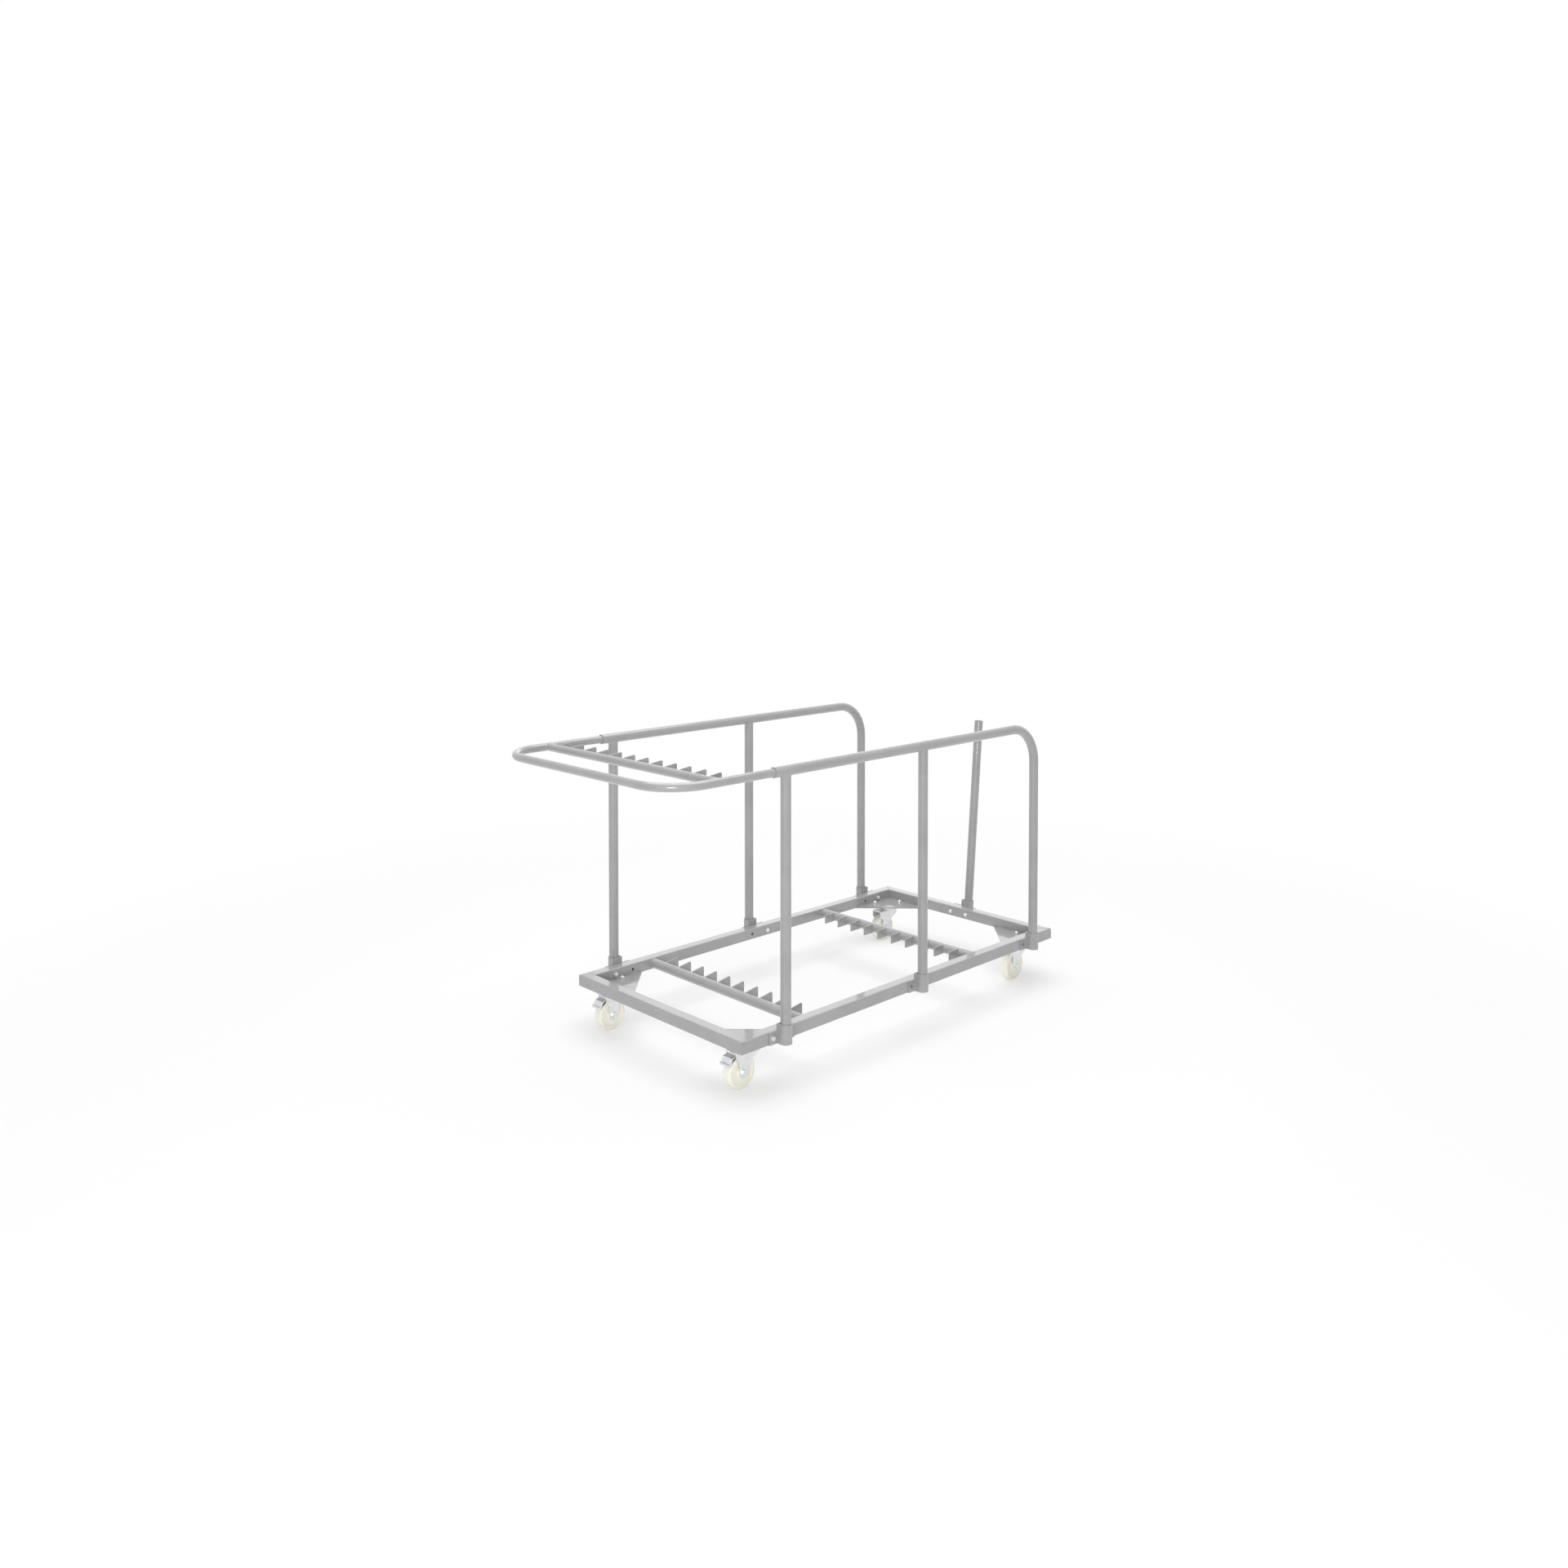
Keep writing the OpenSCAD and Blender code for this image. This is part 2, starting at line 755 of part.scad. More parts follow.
rail_front();
rail_rear();
rail_right();
rail_left();
gusset_at(-1, -1);  // gusset_front_right
gusset_at(-1, 1);  // gusset_front_left
gusset_at(1, -1);  // gusset_rear_right
gusset_at(1, 1);  // gusset_rear_left
bar_front();
bar_rear();
fins_front();
fins_rear();
guard_right();
guard_left();
post_right(front_post_x);  // post_front_right
post_left(front_post_x);  // post_front_left
post_right(mid_post_x);  // post_mid_right
post_left(mid_post_x);  // post_mid_left
handle();
crossbar();
fins_top();
end_post();
socket_side(front_post_x, -1);  // socket_front_right
socket_side(mid_post_x, -1);  // socket_mid_right
socket_side(rear_post_x, -1);  // socket_rear_right
socket_side(front_post_x, 1);  // socket_front_left
socket_side(mid_post_x, 1);  // socket_mid_left
socket_side(rear_post_x, 1);  // socket_rear_left
socket_end();
socket_bolts();
socket_nuts();
caster_bolts();
caster_nuts();
at_caster(-1, -1) plate();  // plate_front_right
at_caster(-1, 1) plate();  // plate_front_left
at_caster(1, -1) plate();  // plate_rear_right
at_caster(1, 1) plate();  // plate_rear_left
at_caster(-1, -1) kingpin();  // kingpin_front_right
at_caster(-1, 1) kingpin();  // kingpin_front_left
at_caster(1, -1) kingpin();  // kingpin_rear_right
at_caster(1, 1) kingpin();  // kingpin_rear_left
at_caster(-1, -1) fork(true);  // fork_front_right
at_caster(-1, 1) fork(true);  // fork_front_left
at_caster(1, -1) fork(false);  // fork_rear_right
at_caster(1, 1) fork(false);  // fork_rear_left
at_caster(-1, -1) wheel();  // wheel_front_right
at_caster(-1, 1) wheel();  // wheel_front_left
at_caster(1, -1) wheel();  // wheel_rear_right
at_caster(1, 1) wheel();  // wheel_rear_left
at_caster(-1, -1) axle();  // axle_front_right
at_caster(-1, 1) axle();  // axle_front_left
at_caster(1, -1) axle();  // axle_rear_right
at_caster(1, 1) axle();  // axle_rear_left
at_caster(-1, -1) brake_pin();  // brake_pin_right
at_caster(-1, 1) brake_pin();  // brake_pin_left
at_caster(-1, -1) pedal();  // pedal_right
at_caster(-1, 1) pedal();  // pedal_left
at_caster(-1, -1) pad();  // pad_right
at_caster(-1, 1) pad();  // pad_left
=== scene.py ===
"""Looks of a banquet table trolley: its finishes, weld beads and fasteners, and the studio it stands in."""

import json
import math

import bmesh
import bpy
from bpy.props import FloatProperty, FloatVectorProperty, IntProperty, PointerProperty
from bpy.types import Operator, Panel, PropertyGroup
from mathutils import Matrix, Vector


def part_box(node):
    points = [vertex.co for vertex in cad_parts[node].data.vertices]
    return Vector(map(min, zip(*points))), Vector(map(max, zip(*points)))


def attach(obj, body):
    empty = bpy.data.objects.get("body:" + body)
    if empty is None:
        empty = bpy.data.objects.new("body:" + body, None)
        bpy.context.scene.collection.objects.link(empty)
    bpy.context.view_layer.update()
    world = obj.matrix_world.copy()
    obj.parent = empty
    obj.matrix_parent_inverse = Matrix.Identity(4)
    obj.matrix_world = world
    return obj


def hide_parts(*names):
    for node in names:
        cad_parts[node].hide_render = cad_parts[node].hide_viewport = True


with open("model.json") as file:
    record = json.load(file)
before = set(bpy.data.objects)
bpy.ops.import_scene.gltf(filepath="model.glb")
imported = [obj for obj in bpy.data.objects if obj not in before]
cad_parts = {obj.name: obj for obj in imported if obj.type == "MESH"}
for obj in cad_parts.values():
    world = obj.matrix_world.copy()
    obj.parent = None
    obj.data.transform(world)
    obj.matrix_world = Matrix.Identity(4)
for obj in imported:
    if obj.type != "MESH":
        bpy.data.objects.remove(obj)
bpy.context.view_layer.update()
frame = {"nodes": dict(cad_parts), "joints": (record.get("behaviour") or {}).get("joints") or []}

bl_info = {
    "name": "Banquet Table Trolley",
    "version": (1, 0, 0),
    "blender": (4, 5, 0),
    "location": "View3D > Sidebar > Trolley",
    "description": "Dresses the trolley's frame with finishes, weld beads and fasteners",
    "category": "Object",
}

MM = 0.001
CORNERS = ("front_right", "front_left", "rear_right", "rear_left")
SIDES = ("right", "left")
SOCKETS = [f"socket_{place}_{side}" for place in ("front", "mid", "rear") for side in SIDES] + ["socket_end"]
RAILS = ["rail_front", "rail_rear", "rail_right", "rail_left"]
GUSSETS = [f"gusset_{corner}" for corner in CORNERS]
POSTS = [f"post_{place}_{side}" for place in ("front", "mid") for side in SIDES]

# Fins: half thickness, gap to the bar, and distance of a plain fin's root from its bar's axis
FIN_HALF, FIN_GAP, FIN_ROOT = 2 * MM, 0.05 * MM, 8 * MM
# Combs cut to shape: height of the lower edge over the bar's axis, and angle round the bar of the upper one
CUT_COMBS = {"fins_front": (-14 * MM, math.radians(80)), "fins_top": (-11 * MM, math.radians(50))}

# Fasteners: diameter and width across flats
M8, M10 = (8 * MM, 13 * MM), (10 * MM, 17 * MM)
# Thread at a bolt's end, chamfer of its tip, countersink of a nut, and gap between a shank and its bore
THREAD_LENGTH, TIP_CHAMFER, COUNTERSINK, THREAD_GAP = 14 * MM, 1.0 * MM, 0.5 * MM, 0.02 * MM
# Hexagons: radius of the turned-off corners as a share of the flats, and slope of the chamfer
CHAMFER_SHARE, CHAMFER_SLOPE = 0.475, 0.577
# Directions round a turned piece
TURN_STEPS = 48

# Sockets: thickness of the flange and half width of the sleeve
SOCKET_WALL, SLEEVE_HALF = 3 * MM, 19.3 * MM

# Pedals: bend of the tread from the pivot, and toe from the pedal's low corner, along X and Z
PEDAL_BEND, PEDAL_TOE = (-22 * MM, -6 * MM), (5 * MM, 1.7 * MM)
# Ribs on a pedal: distance from the tread's middle, half thickness, and distance from the pedal's sides
RIB_LIFT, RIB_HALF, RIB_INSET = 1.35 * MM, 0.8 * MM, 5 * MM
# Brake pads: gap to the tread when pressed, depth and number of the teeth, and rounding of the edges
PAD_GAP, PAD_TOOTH, PAD_TEETH, PAD_EDGE = 0.5 * MM, 1.8 * MM, 4, 0.3 * MM

# Camera: width of the sensor in millimetres, and shift of the frame
SENSOR, SHIFT = 36, (-0.0017, -0.1376)
# Lamps: place and diameter in metres, and the point that they all aim at
LAMPS = {
    "Overhead": ((0.6, 0.6, 7.0), 8.0),
    "Front": ((-4.3, -3.6, 1.4), 1.8),
    "Back": ((6.8, 6.5, 3.2), 5.0),
}
LAMP_AIM = (0, 0, 0.4)
# Floor: radius, and the distances from its middle between which it turns plain white
FLOOR_RADIUS, VEIL_START, VEIL_END = 14, 1.4, 3.6


# Properties

class TrolleyFinish(PropertyGroup):
    """Colours and surface relief of the trolley's finishes."""

    paint: FloatVectorProperty(
        name="Paint", description="Grey powder coat of the frame",
        subtype="COLOR", size=4, min=0, max=1, default=(0.35, 0.35, 0.355, 1))
    paint_shade: FloatVectorProperty(
        name="Paint shade", description="Powder coat where it has gone on a little thinner",
        subtype="COLOR", size=4, min=0, max=1, default=(0.32, 0.32, 0.325, 1))
    zinc: FloatVectorProperty(
        name="Zinc", description="Bright zinc plate of the casters and fasteners",
        subtype="COLOR", size=4, min=0, max=1, default=(0.82, 0.825, 0.835, 1))
    zinc_shade: FloatVectorProperty(
        name="Zinc shade", description="Duller patches of the zinc plate",
        subtype="COLOR", size=4, min=0, max=1, default=(0.75, 0.758, 0.772, 1))
    nylon: FloatVectorProperty(
        name="Nylon", description="Cream nylon of the wheels",
        subtype="COLOR", size=4, min=0, max=1, default=(0.96, 0.94, 0.82, 1))
    nylon_shade: FloatVectorProperty(
        name="Nylon shade", description="Nylon rubbed by the floor",
        subtype="COLOR", size=4, min=0, max=1, default=(0.92, 0.895, 0.75, 1))
    rubber: FloatVectorProperty(
        name="Rubber", description="Black rubber of the brake pads",
        subtype="COLOR", size=4, min=0, max=1, default=(0.020, 0.020, 0.021, 1))
    dust: FloatVectorProperty(
        name="Dust", description="Pale dust on faces that look upward",
        subtype="COLOR", size=4, min=0, max=1, default=(0.50, 0.49, 0.47, 1))
    peel_depth: FloatProperty(
        name="Orange peel", description="Depth of the ripple in the powder coat",
        subtype="DISTANCE", unit="LENGTH", min=0, max=0.001, default=0.00002)


class TrolleySizes(PropertyGroup):
    """Sizes of the details that dress the frame."""

    tube_edge: FloatProperty(
        name="Tube edge", description="Rounding of cut tube ends and plates",
        subtype="DISTANCE", unit="LENGTH", min=0.0001, max=0.002, default=0.0007)
    sheet_edge: FloatProperty(
        name="Sheet edge", description="Rounding of the casters' pressed sheet",
        subtype="DISTANCE", unit="LENGTH", min=0.0001, max=0.001, default=0.0004)
    socket_edge: FloatProperty(
        name="Socket edge", description="Rounding of the sockets' pressed flanges and sleeves",
        subtype="DISTANCE", unit="LENGTH", min=0.0001, max=0.0014, default=0.0011)
    bead: FloatProperty(
        name="Weld bead", description="Half width of the weld beads between tubes",
        subtype="DISTANCE", unit="LENGTH", min=0.0005, max=0.006, default=0.0026)
    cope_leg: FloatProperty(
        name="Cope fillet", description="Leg of the weld fillets where a tube is cut to another",
        subtype="DISTANCE", unit="LENGTH", min=0.001, max=0.012, default=0.005)
    comb_bead: FloatProperty(
        name="Comb bead", description="Half width of the weld beads at the comb fins",
        subtype="DISTANCE", unit="LENGTH", min=0.0005, max=0.004, default=0.0016)
    fin_corner: FloatProperty(
        name="Fin corner", description="Rounding of the tips of the comb fins that are cut to shape",
        subtype="DISTANCE", unit="LENGTH", min=0.001, max=0.012, default=0.005)
    ripple_pitch: FloatProperty(
        name="Ripple pitch", description="Distance between the ripples of a weld bead",
        subtype="DISTANCE", unit="LENGTH", min=0.001, max=0.01, default=0.0034)
    thread_pitch: FloatProperty(
        name="Thread pitch", description="Pitch of the bolts' thread",
        subtype="DISTANCE", unit="LENGTH", min=0.0005, max=0.003, default=0.00125)
    pedal_ribs: IntProperty(
        name="Pedal ribs", description="Ribs across the tread of a brake pedal", min=0, max=6, default=3)


class TrolleyStudio(PropertyGroup):
    """Floor, light and camera."""

    floor: FloatVectorProperty(
        name="Floor", description="Colour of the pale floor",
        subtype="COLOR", size=4, min=0, max=1, default=(0.94, 0.94, 0.94, 1))
    floor_veil: FloatProperty(
        name="Floor veil", description="Share of plain white in the floor as the camera sees it",
        subtype="FACTOR", min=0, max=1, default=0.5)
    sky: FloatProperty(
        name="Sky", description="Strength of the white room light on the object",
        min=0, max=2, default=0.40)
    overhead: FloatProperty(
        name="Overhead lamp", description="Power of the wide lamp over the trolley",
        subtype="POWER", unit="POWER", min=0, max=2000, default=390)
    front: FloatProperty(
        name="Front lamp", description="Power of the low lamp behind the camera",
        subtype="POWER", unit="POWER", min=0, max=2000, default=108)
    back: FloatProperty(
        name="Back lamp", description="Power of the lamp behind the trolley, which shines on its upper faces",
        subtype="POWER", unit="POWER", min=0, max=2000, default=26)
    lens: FloatProperty(
        name="Lens", description="Focal length on a 36 mm sensor", min=10, max=200, default=29.68)
    eye: FloatVectorProperty(
        name="Eye", description="Place of the camera",
        subtype="TRANSLATION", unit="LENGTH", size=3, default=(-3.0895, -3.0754, 1.6143))
    heading: FloatProperty(
        name="Heading", description="Direction of view from +X towards +Y",
        subtype="ANGLE", unit="ROTATION", default=math.radians(45.835))
    tilt: FloatProperty(
        name="Tilt", description="Angle of the view below the horizon",
        subtype="ANGLE", unit="ROTATION", default=math.radians(1.594))


# Shader node groups

def node_group(name, inputs, outputs):
    """New shader group with float inputs {name: default} and float outputs; returns it with its ends."""
    tree = bpy.data.node_groups.new(name, "ShaderNodeTree")
    for label, value in inputs.items():
        socket = tree.interface.new_socket(label, in_out="INPUT", socket_type="NodeSocketFloat")
        socket.default_value = value
    for label in outputs:
        tree.interface.new_socket(label, in_out="OUTPUT", socket_type="NodeSocketFloat")
    return tree, tree.nodes.new("NodeGroupInput"), tree.nodes.new("NodeGroupOutput")


def add_node(tree, kind, inputs=None, **settings):
    """New node with its settings, and its inputs set to values or linked from sockets."""
    node = tree.nodes.new(kind)
    for name, value in settings.items():
        setattr(node, name, value)
    for name, value in (inputs or {}).items():
        if isinstance(value, bpy.types.NodeSocket):
            tree.links.new(value, node.inputs[name])
        else:
            node.inputs[name].default_value = value
    return node


def noise(tree, place, scale, detail=2.0, roughness=0.5):
    """Noise value over the object's own coordinates."""
    return add_node(tree, "ShaderNodeTexNoise", {
        "Vector": place, "Scale": scale, "Detail": detail, "Roughness": roughness}).outputs["Fac"]


def ramp(tree, value, low, high):
    """Value brought from low..high to 0..1 with a smooth step."""
    return add_node(tree, "ShaderNodeMapRange", {
        "Value": value, "From Min": low, "From Max": high, "To Min": 0.0, "To Max": 1.0},
        interpolation_type="SMOOTHSTEP").outputs["Result"]


def maths(tree, operation, a, b):
    return add_node(tree, "ShaderNodeMath", {0: a, 1: b}, operation=operation).outputs[0]


def times(tree, a, b):
    return maths(tree, "MULTIPLY", a, b)


def plus(tree, a, b):
    return maths(tree, "ADD", a, b)


def own_place(tree):
    """Coordinates in the object's own frame."""
    return add_node(tree, "ShaderNodeTexCoord").outputs["Object"]


def make_orange_peel():
    """Ripple of a sprayed or moulded surface, for a bump's height."""
    tree, ends_in, ends_out = node_group("Orange Peel", {"Scale": 420.0, "Grit": 0.3}, ["Height"])
    place = own_place(tree)
    waves = noise(tree, place, ends_in.outputs["Scale"], 1.0)
    fine_scale = times(tree, ends_in.outputs["Scale"], 4.5)
    fine = times(tree, noise(tree, place, fine_scale, 1.0), ends_in.outputs["Grit"])
    tree.links.new(plus(tree, waves, fine), ends_out.inputs["Height"])


def make_mottle():
    """Slow change of tone over a surface."""
    tree, ends_in, ends_out = node_group("Mottle", {"Scale": 7.0, "Low": 0.35, "High": 0.65}, ["Mask"])
    place = own_place(tree)
    broad = noise(tree, place, ends_in.outputs["Scale"], 4.0, 0.6)
    shaped = ramp(tree, broad, ends_in.outputs["Low"], ends_in.outputs["High"])
    tree.links.new(shaped, ends_out.inputs["Mask"])


def make_scuffs():
    """Thin rubbed lines that come and go in patches."""
    tree, ends_in, ends_out = node_group("Scuffs", {"Scale": 60.0, "Amount": 0.5}, ["Mask"])
    place = own_place(tree)
    drawn_out = add_node(tree, "ShaderNodeMapping", {
        "Vector": place, "Rotation": (0.35, 0.2, 0.55), "Scale": (0.12, 1.0, 1.6)}).outputs["Vector"]
    lines = noise(tree, drawn_out, times(tree, ends_in.outputs["Scale"], 5.0), 3.0, 0.65)
    patches = noise(tree, place, times(tree, ends_in.outputs["Scale"], 0.2), 3.0)
    mask = times(tree, ramp(tree, lines, 0.56, 0.70), ramp(tree, patches, 0.48, 0.66))
    tree.links.new(times(tree, mask, ends_in.outputs["Amount"]), ends_out.inputs["Mask"])


def make_dust():
    """Dust that settles on faces looking upward, thinner where it was brushed off."""
    tree, ends_in, ends_out = node_group("Settled Dust", {"Scale": 30.0, "Amount": 0.3}, ["Mask"])
    place = own_place(tree)
    normal = add_node(tree, "ShaderNodeNewGeometry").outputs["Normal"]
    height = add_node(tree, "ShaderNodeSeparateXYZ", {0: normal}).outputs["Z"]
    upward = ramp(tree, height, 0.35, 0.95)
    patches = ramp(tree, noise(tree, place, ends_in.outputs["Scale"], 5.0, 0.6), 0.30, 0.75)
    settled = times(tree, upward, patches)
    tree.links.new(times(tree, settled, ends_in.outputs["Amount"]), ends_out.inputs["Mask"])


def use_group(tree, name, **inputs):
    """Shared group placed in a material with its own values; returns its first output."""
    node = tree.nodes.new("ShaderNodeGroup")
    node.node_tree = bpy.data.node_groups[name]
    for label, value in inputs.items():
        node.inputs[label].default_value = value
    return node.outputs[0]


def mix_colour(tree, mask, a, b):
    """Colour a where the mask is 0 and b where it is 1."""
    return add_node(tree, "ShaderNodeMix", {0: mask, 6: a, 7: b}, data_type="RGBA").outputs[2]


def spread(tree, mask, low, high):
    """Number that goes from low to high with the mask."""
    return add_node(tree, "ShaderNodeMapRange", {
        "Value": mask, "From Min": 0.0, "From Max": 1.0, "To Min": low, "To Max": high}).outputs["Result"]


def bump(tree, height, depth):
    return add_node(tree, "ShaderNodeBump", {
        "Height": height, "Distance": depth, "Strength": 1.0}).outputs["Normal"]


def new_material(name):
    """New material; returns its node tree and its Principled shader."""
    material = bpy.data.materials.new(name)
    material.use_nodes = True
    return material.node_tree, material.node_tree.nodes["Principled BSDF"]


def plug(tree, shader, **sockets):
    for name, socket in sockets.items():
        tree.links.new(socket, shader.inputs[name.replace("_", " ")])


# Materials

def make_paint(finish):
    """Satin grey powder coat."""
    tree, shader = new_material("Grey Powder Coat")
    tone = mix_colour(tree, use_group(tree, "Mottle", Scale=9.0), finish.paint_shade, finish.paint)
    dust = use_group(tree, "Settled Dust", Scale=26.0, Amount=0.22)
    scuffs = use_group(tree, "Scuffs", Scale=40.0, Amount=0.35)
    peel = use_group(tree, "Orange Peel", Scale=420.0, Grit=0.25)
    rough = plus(tree, spread(tree, dust, 0.36, 0.62), times(tree, scuffs, 0.10))
    plug(tree, shader, Base_Color=mix_colour(tree, dust, tone, finish.dust), Roughness=rough,
         Normal=bump(tree, peel, finish.peel_depth))
    shader.inputs["Coat Weight"].default_value = 1.0
    shader.inputs["Coat Roughness"].default_value = 0.06


def make_zinc(finish):
    """Bright zinc plate with faint patches and rub marks."""
    tree, shader = new_material("Bright Zinc Plate")
    patches = use_group(tree, "Mottle", Scale=70.0, Low=0.42, High=0.70)
    scuffs = use_group(tree, "Scuffs", Scale=160.0, Amount=0.6)
    peel = use_group(tree, "Orange Peel", Scale=900.0, Grit=0.5)
    plug(tree, shader, Base_Color=mix_colour(tree, patches, finish.zinc, finish.zinc_shade),
         Roughness=plus(tree, spread(tree, patches, 0.42, 0.54), times(tree, scuffs, 0.10)),
         Normal=bump(tree, peel, 0.00003))
    shader.inputs["Metallic"].default_value = 0.75


def make_nylon(finish):
    """Cream nylon, moulded, a little rubbed."""
    tree, shader = new_material("Cream Nylon")
    rubbed = use_group(tree, "Mottle", Scale=55.0, Low=0.45, High=0.85)
    scuffs = use_group(tree, "Scuffs", Scale=120.0, Amount=0.5)
    peel = use_group(tree, "Orange Peel", Scale=700.0, Grit=0.5)
    plug(tree, shader, Base_Color=mix_colour(tree, rubbed, finish.nylon, finish.nylon_shade),
         Roughness=plus(tree, spread(tree, rubbed, 0.38, 0.52), times(tree, scuffs, 0.15)),
         Normal=bump(tree, peel, 0.00004))


def make_rubber(finish):
    """Black rubber with a coarse moulded grain."""
    tree, shader = new_material("Black Rubber")
    worn = use_group(tree, "Mottle", Scale=140.0, Low=0.40, High=0.75)
    peel = use_group(tree, "Orange Peel", Scale=1100.0, Grit=0.9)
    grey = [3.0 * part for part in finish.rubber[:3]] + [1.0]
    plug(tree, shader, Base_Color=mix_colour(tree, worn, finish.rubber, grey),
         Roughness=spread(tree, worn, 0.55, 0.75), Normal=bump(tree, peel, 0.00012))


# Frame nodes

def add_bevel(obj, width):
    """Modifier that rounds an object's sharp edges."""
    edge = obj.modifiers.new("Edge rounding", "BEVEL")
    edge.width = width
    edge.segments = 2
    edge.limit_method = "ANGLE"
    return edge


def round_edges(name, width):
    """Rounds the sharp edges of a frame node by modifiers, which leave its own mesh alone."""
    obj = frame["nodes"][name]
    weld = obj.modifiers.new("Join seams", "WELD")
    weld.merge_threshold = 1e-6
    flat = obj.modifiers.new("Flat faces", "DECIMATE")
    flat.decimate_type = "DISSOLVE"
    flat.angle_limit = math.radians(0.6)
    edge = add_bevel(obj, width)
    edge.angle_limit = math.radians(32)
    edge.use_clamp_overlap = True
    shade = obj.modifiers.new("Even shading", "WEIGHTED_NORMAL")
    shade.keep_sharp = False
    shade.weight = 60


def dress_nodes(names, material, width):
    """Gives every slot of the named frame nodes the material, and rounds their edges."""
    for name in names:
        for place in frame["nodes"][name].material_slots:
            place.link = "OBJECT"
            place.material = bpy.data.materials[material]
        round_edges(name, width)


# New pieces

def new_piece(name, bm, material, body, replaced=()):
    """Finishes a mesh as a piece that rides on a body."""
    bmesh.ops.recalc_face_normals(bm, faces=bm.faces)
    mesh = bpy.data.meshes.new(name)
    bm.to_mesh(mesh)
    bm.free()
    mesh.materials.append(bpy.data.materials[material])
    obj = bpy.data.objects.new(name, mesh)
    bpy.context.scene.collection.objects.link(obj)
    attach(obj, body)
    if replaced:
        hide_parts(*replaced)
    return obj


def bridge(bm, ring_a, ring_b, smooth=True):
    count = len(ring_a)
    for i in range(count):
        j = (i + 1) % count
        face = bm.faces.new((ring_a[i], ring_a[j], ring_b[j], ring_b[i]))
        face.smooth = smooth


def add_plate(bm, outline, levels):
    """Flat plate between two levels of Y, from its outline in X and Z."""
    near, far = ([bm.verts.new((x, y, z)) for x, z in outline] for y in levels)
    bridge(bm, near, far, smooth=False)
    bm.faces.new(near)
    bm.faces.new(list(reversed(far)))


def even_points(path, step, closed=False):
    """Points along a polyline at nearly even steps."""
    nodes = list(path) + ([path[0]] if closed else [])
    lengths = [0.0]
    for a, b in zip(nodes, nodes[1:]):
        lengths.append(lengths[-1] + (b - a).length)
    count = max(3, round(lengths[-1] / step))
    points, k = [], 0
    for i in range(count if closed else count + 1):
        goal = lengths[-1] * i / count
        while k < len(nodes) - 2 and lengths[k + 1] < goal:
            k += 1
        stretch = max(lengths[k + 1] - lengths[k], 1e-12)
        points.append(nodes[k].lerp(nodes[k + 1], (goal - lengths[k]) / stretch))
    return points, lengths[-1]


def sweep_bead(bm, path, half, pitch, closed=False, sides=8, ripple=0.16):
    """Weld bead: a tube along a path whose radius swells once a ripple, with domed ends."""
    points, length = even_points(path, pitch / 4, closed)
    count = len(points)
    ripples = max(1, round(length / pitch))
    up = None
    rings = []
    for i, point in enumerate(points):
        before = points[i - 1] if closed or i else point
        after = points[(i + 1) % count] if closed or i < count - 1 else point
        along = (after - before).normalized()
        if up is None:
            up = along.orthogonal().normalized()
        up = (up - along * up.dot(along)).normalized()
        side = along.cross(up)
        share = i / count if closed else i / (count - 1)
        swell = 1 - ripple * abs(math.cos(math.pi * ripples * share))
        if not closed:
            swell *= min(1.0, 0.35 + 0.25 * min(i, count - 1 - i))
        ring = []
        for k in range(sides):
            turn = math.tau * k / sides
            ring.append(bm.verts.new(point + (up * math.cos(turn) + side * math.sin(turn)) * half * swell))
        rings.append(ring)
    for a, b in zip(rings, rings[1:]):
        bridge(bm, a, b)
    if closed:
        shift = min(range(sides), key=lambda s: (rings[0][s].co - rings[-1][0].co).length)
        bridge(bm, rings[-1], rings[0][shift:] + rings[0][:shift])
    else:
        bm.faces.new(list(reversed(rings[0])))
        bm.faces.new(rings[-1])


def joint(name):
    return next(j for j in frame["joints"] if j["name"] == name)


def joint_place(name):
    return Vector(joint(name)["pos_m"])


def middle(name):
    low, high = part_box(name)
    return (low + high) / 2


def cope_fillet(bm, centre, branch_axis, main_axis, branch_r, main_r, leg, pitch):
    """Weld fillets where a branch tube is cut to a main tube: one crescent on each side, hollow and rippled.

    Branch_axis points from the main tube along the branch.
    """
    cross = branch_axis.cross(main_axis)
    steps, arc = 40, 5
    for side in (-1, 1):
        rings = []
        for i in range(steps + 1):
            turn = math.pi * (i / steps - 0.5) * 0.985
            lift = math.sqrt(max(main_r ** 2 - (branch_r * math.sin(turn)) ** 2, 0.0))
            corner = (centre + main_axis * side * branch_r * math.cos(turn)
                      + cross * branch_r * math.sin(turn) + branch_axis * lift)
            ripple = 1 + 0.07 * math.cos(math.tau * branch_r * turn / pitch)
            width = leg * ripple * max(math.cos(turn), 0.02) ** 0.6
            out = main_axis * side
            ring = [bm.verts.new(corner - (out + branch_axis) * 0.35 * width)]
            for k in range(arc + 1):
                sweep = math.pi / 2 * k / arc
                ring.append(bm.verts.new(corner + out * width * (1 - math.sin(sweep))
                                         + branch_axis * width * (1 - math.cos(sweep))))
            rings.append(ring)
        for a, b in zip(rings, rings[1:]):
            bridge(bm, a, b)
            for k in (0, 1, arc + 1):
                bm.edges.get((a[k], b[k])).smooth = False
        bm.faces.new(rings[0])
        bm.faces.new(list(reversed(rings[-1])))


def fin_centres(name):
    """Y of the middle of each fin in a comb."""
    levels = sorted({round(v.co.y, 4) for v in frame["nodes"][name].data.vertices})
    return [(a + b) / 2 for a, b in zip(levels[::2], levels[1::2])]


def bar_radius(name):
    low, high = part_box(name)
    return (high.z - low.z) / 2


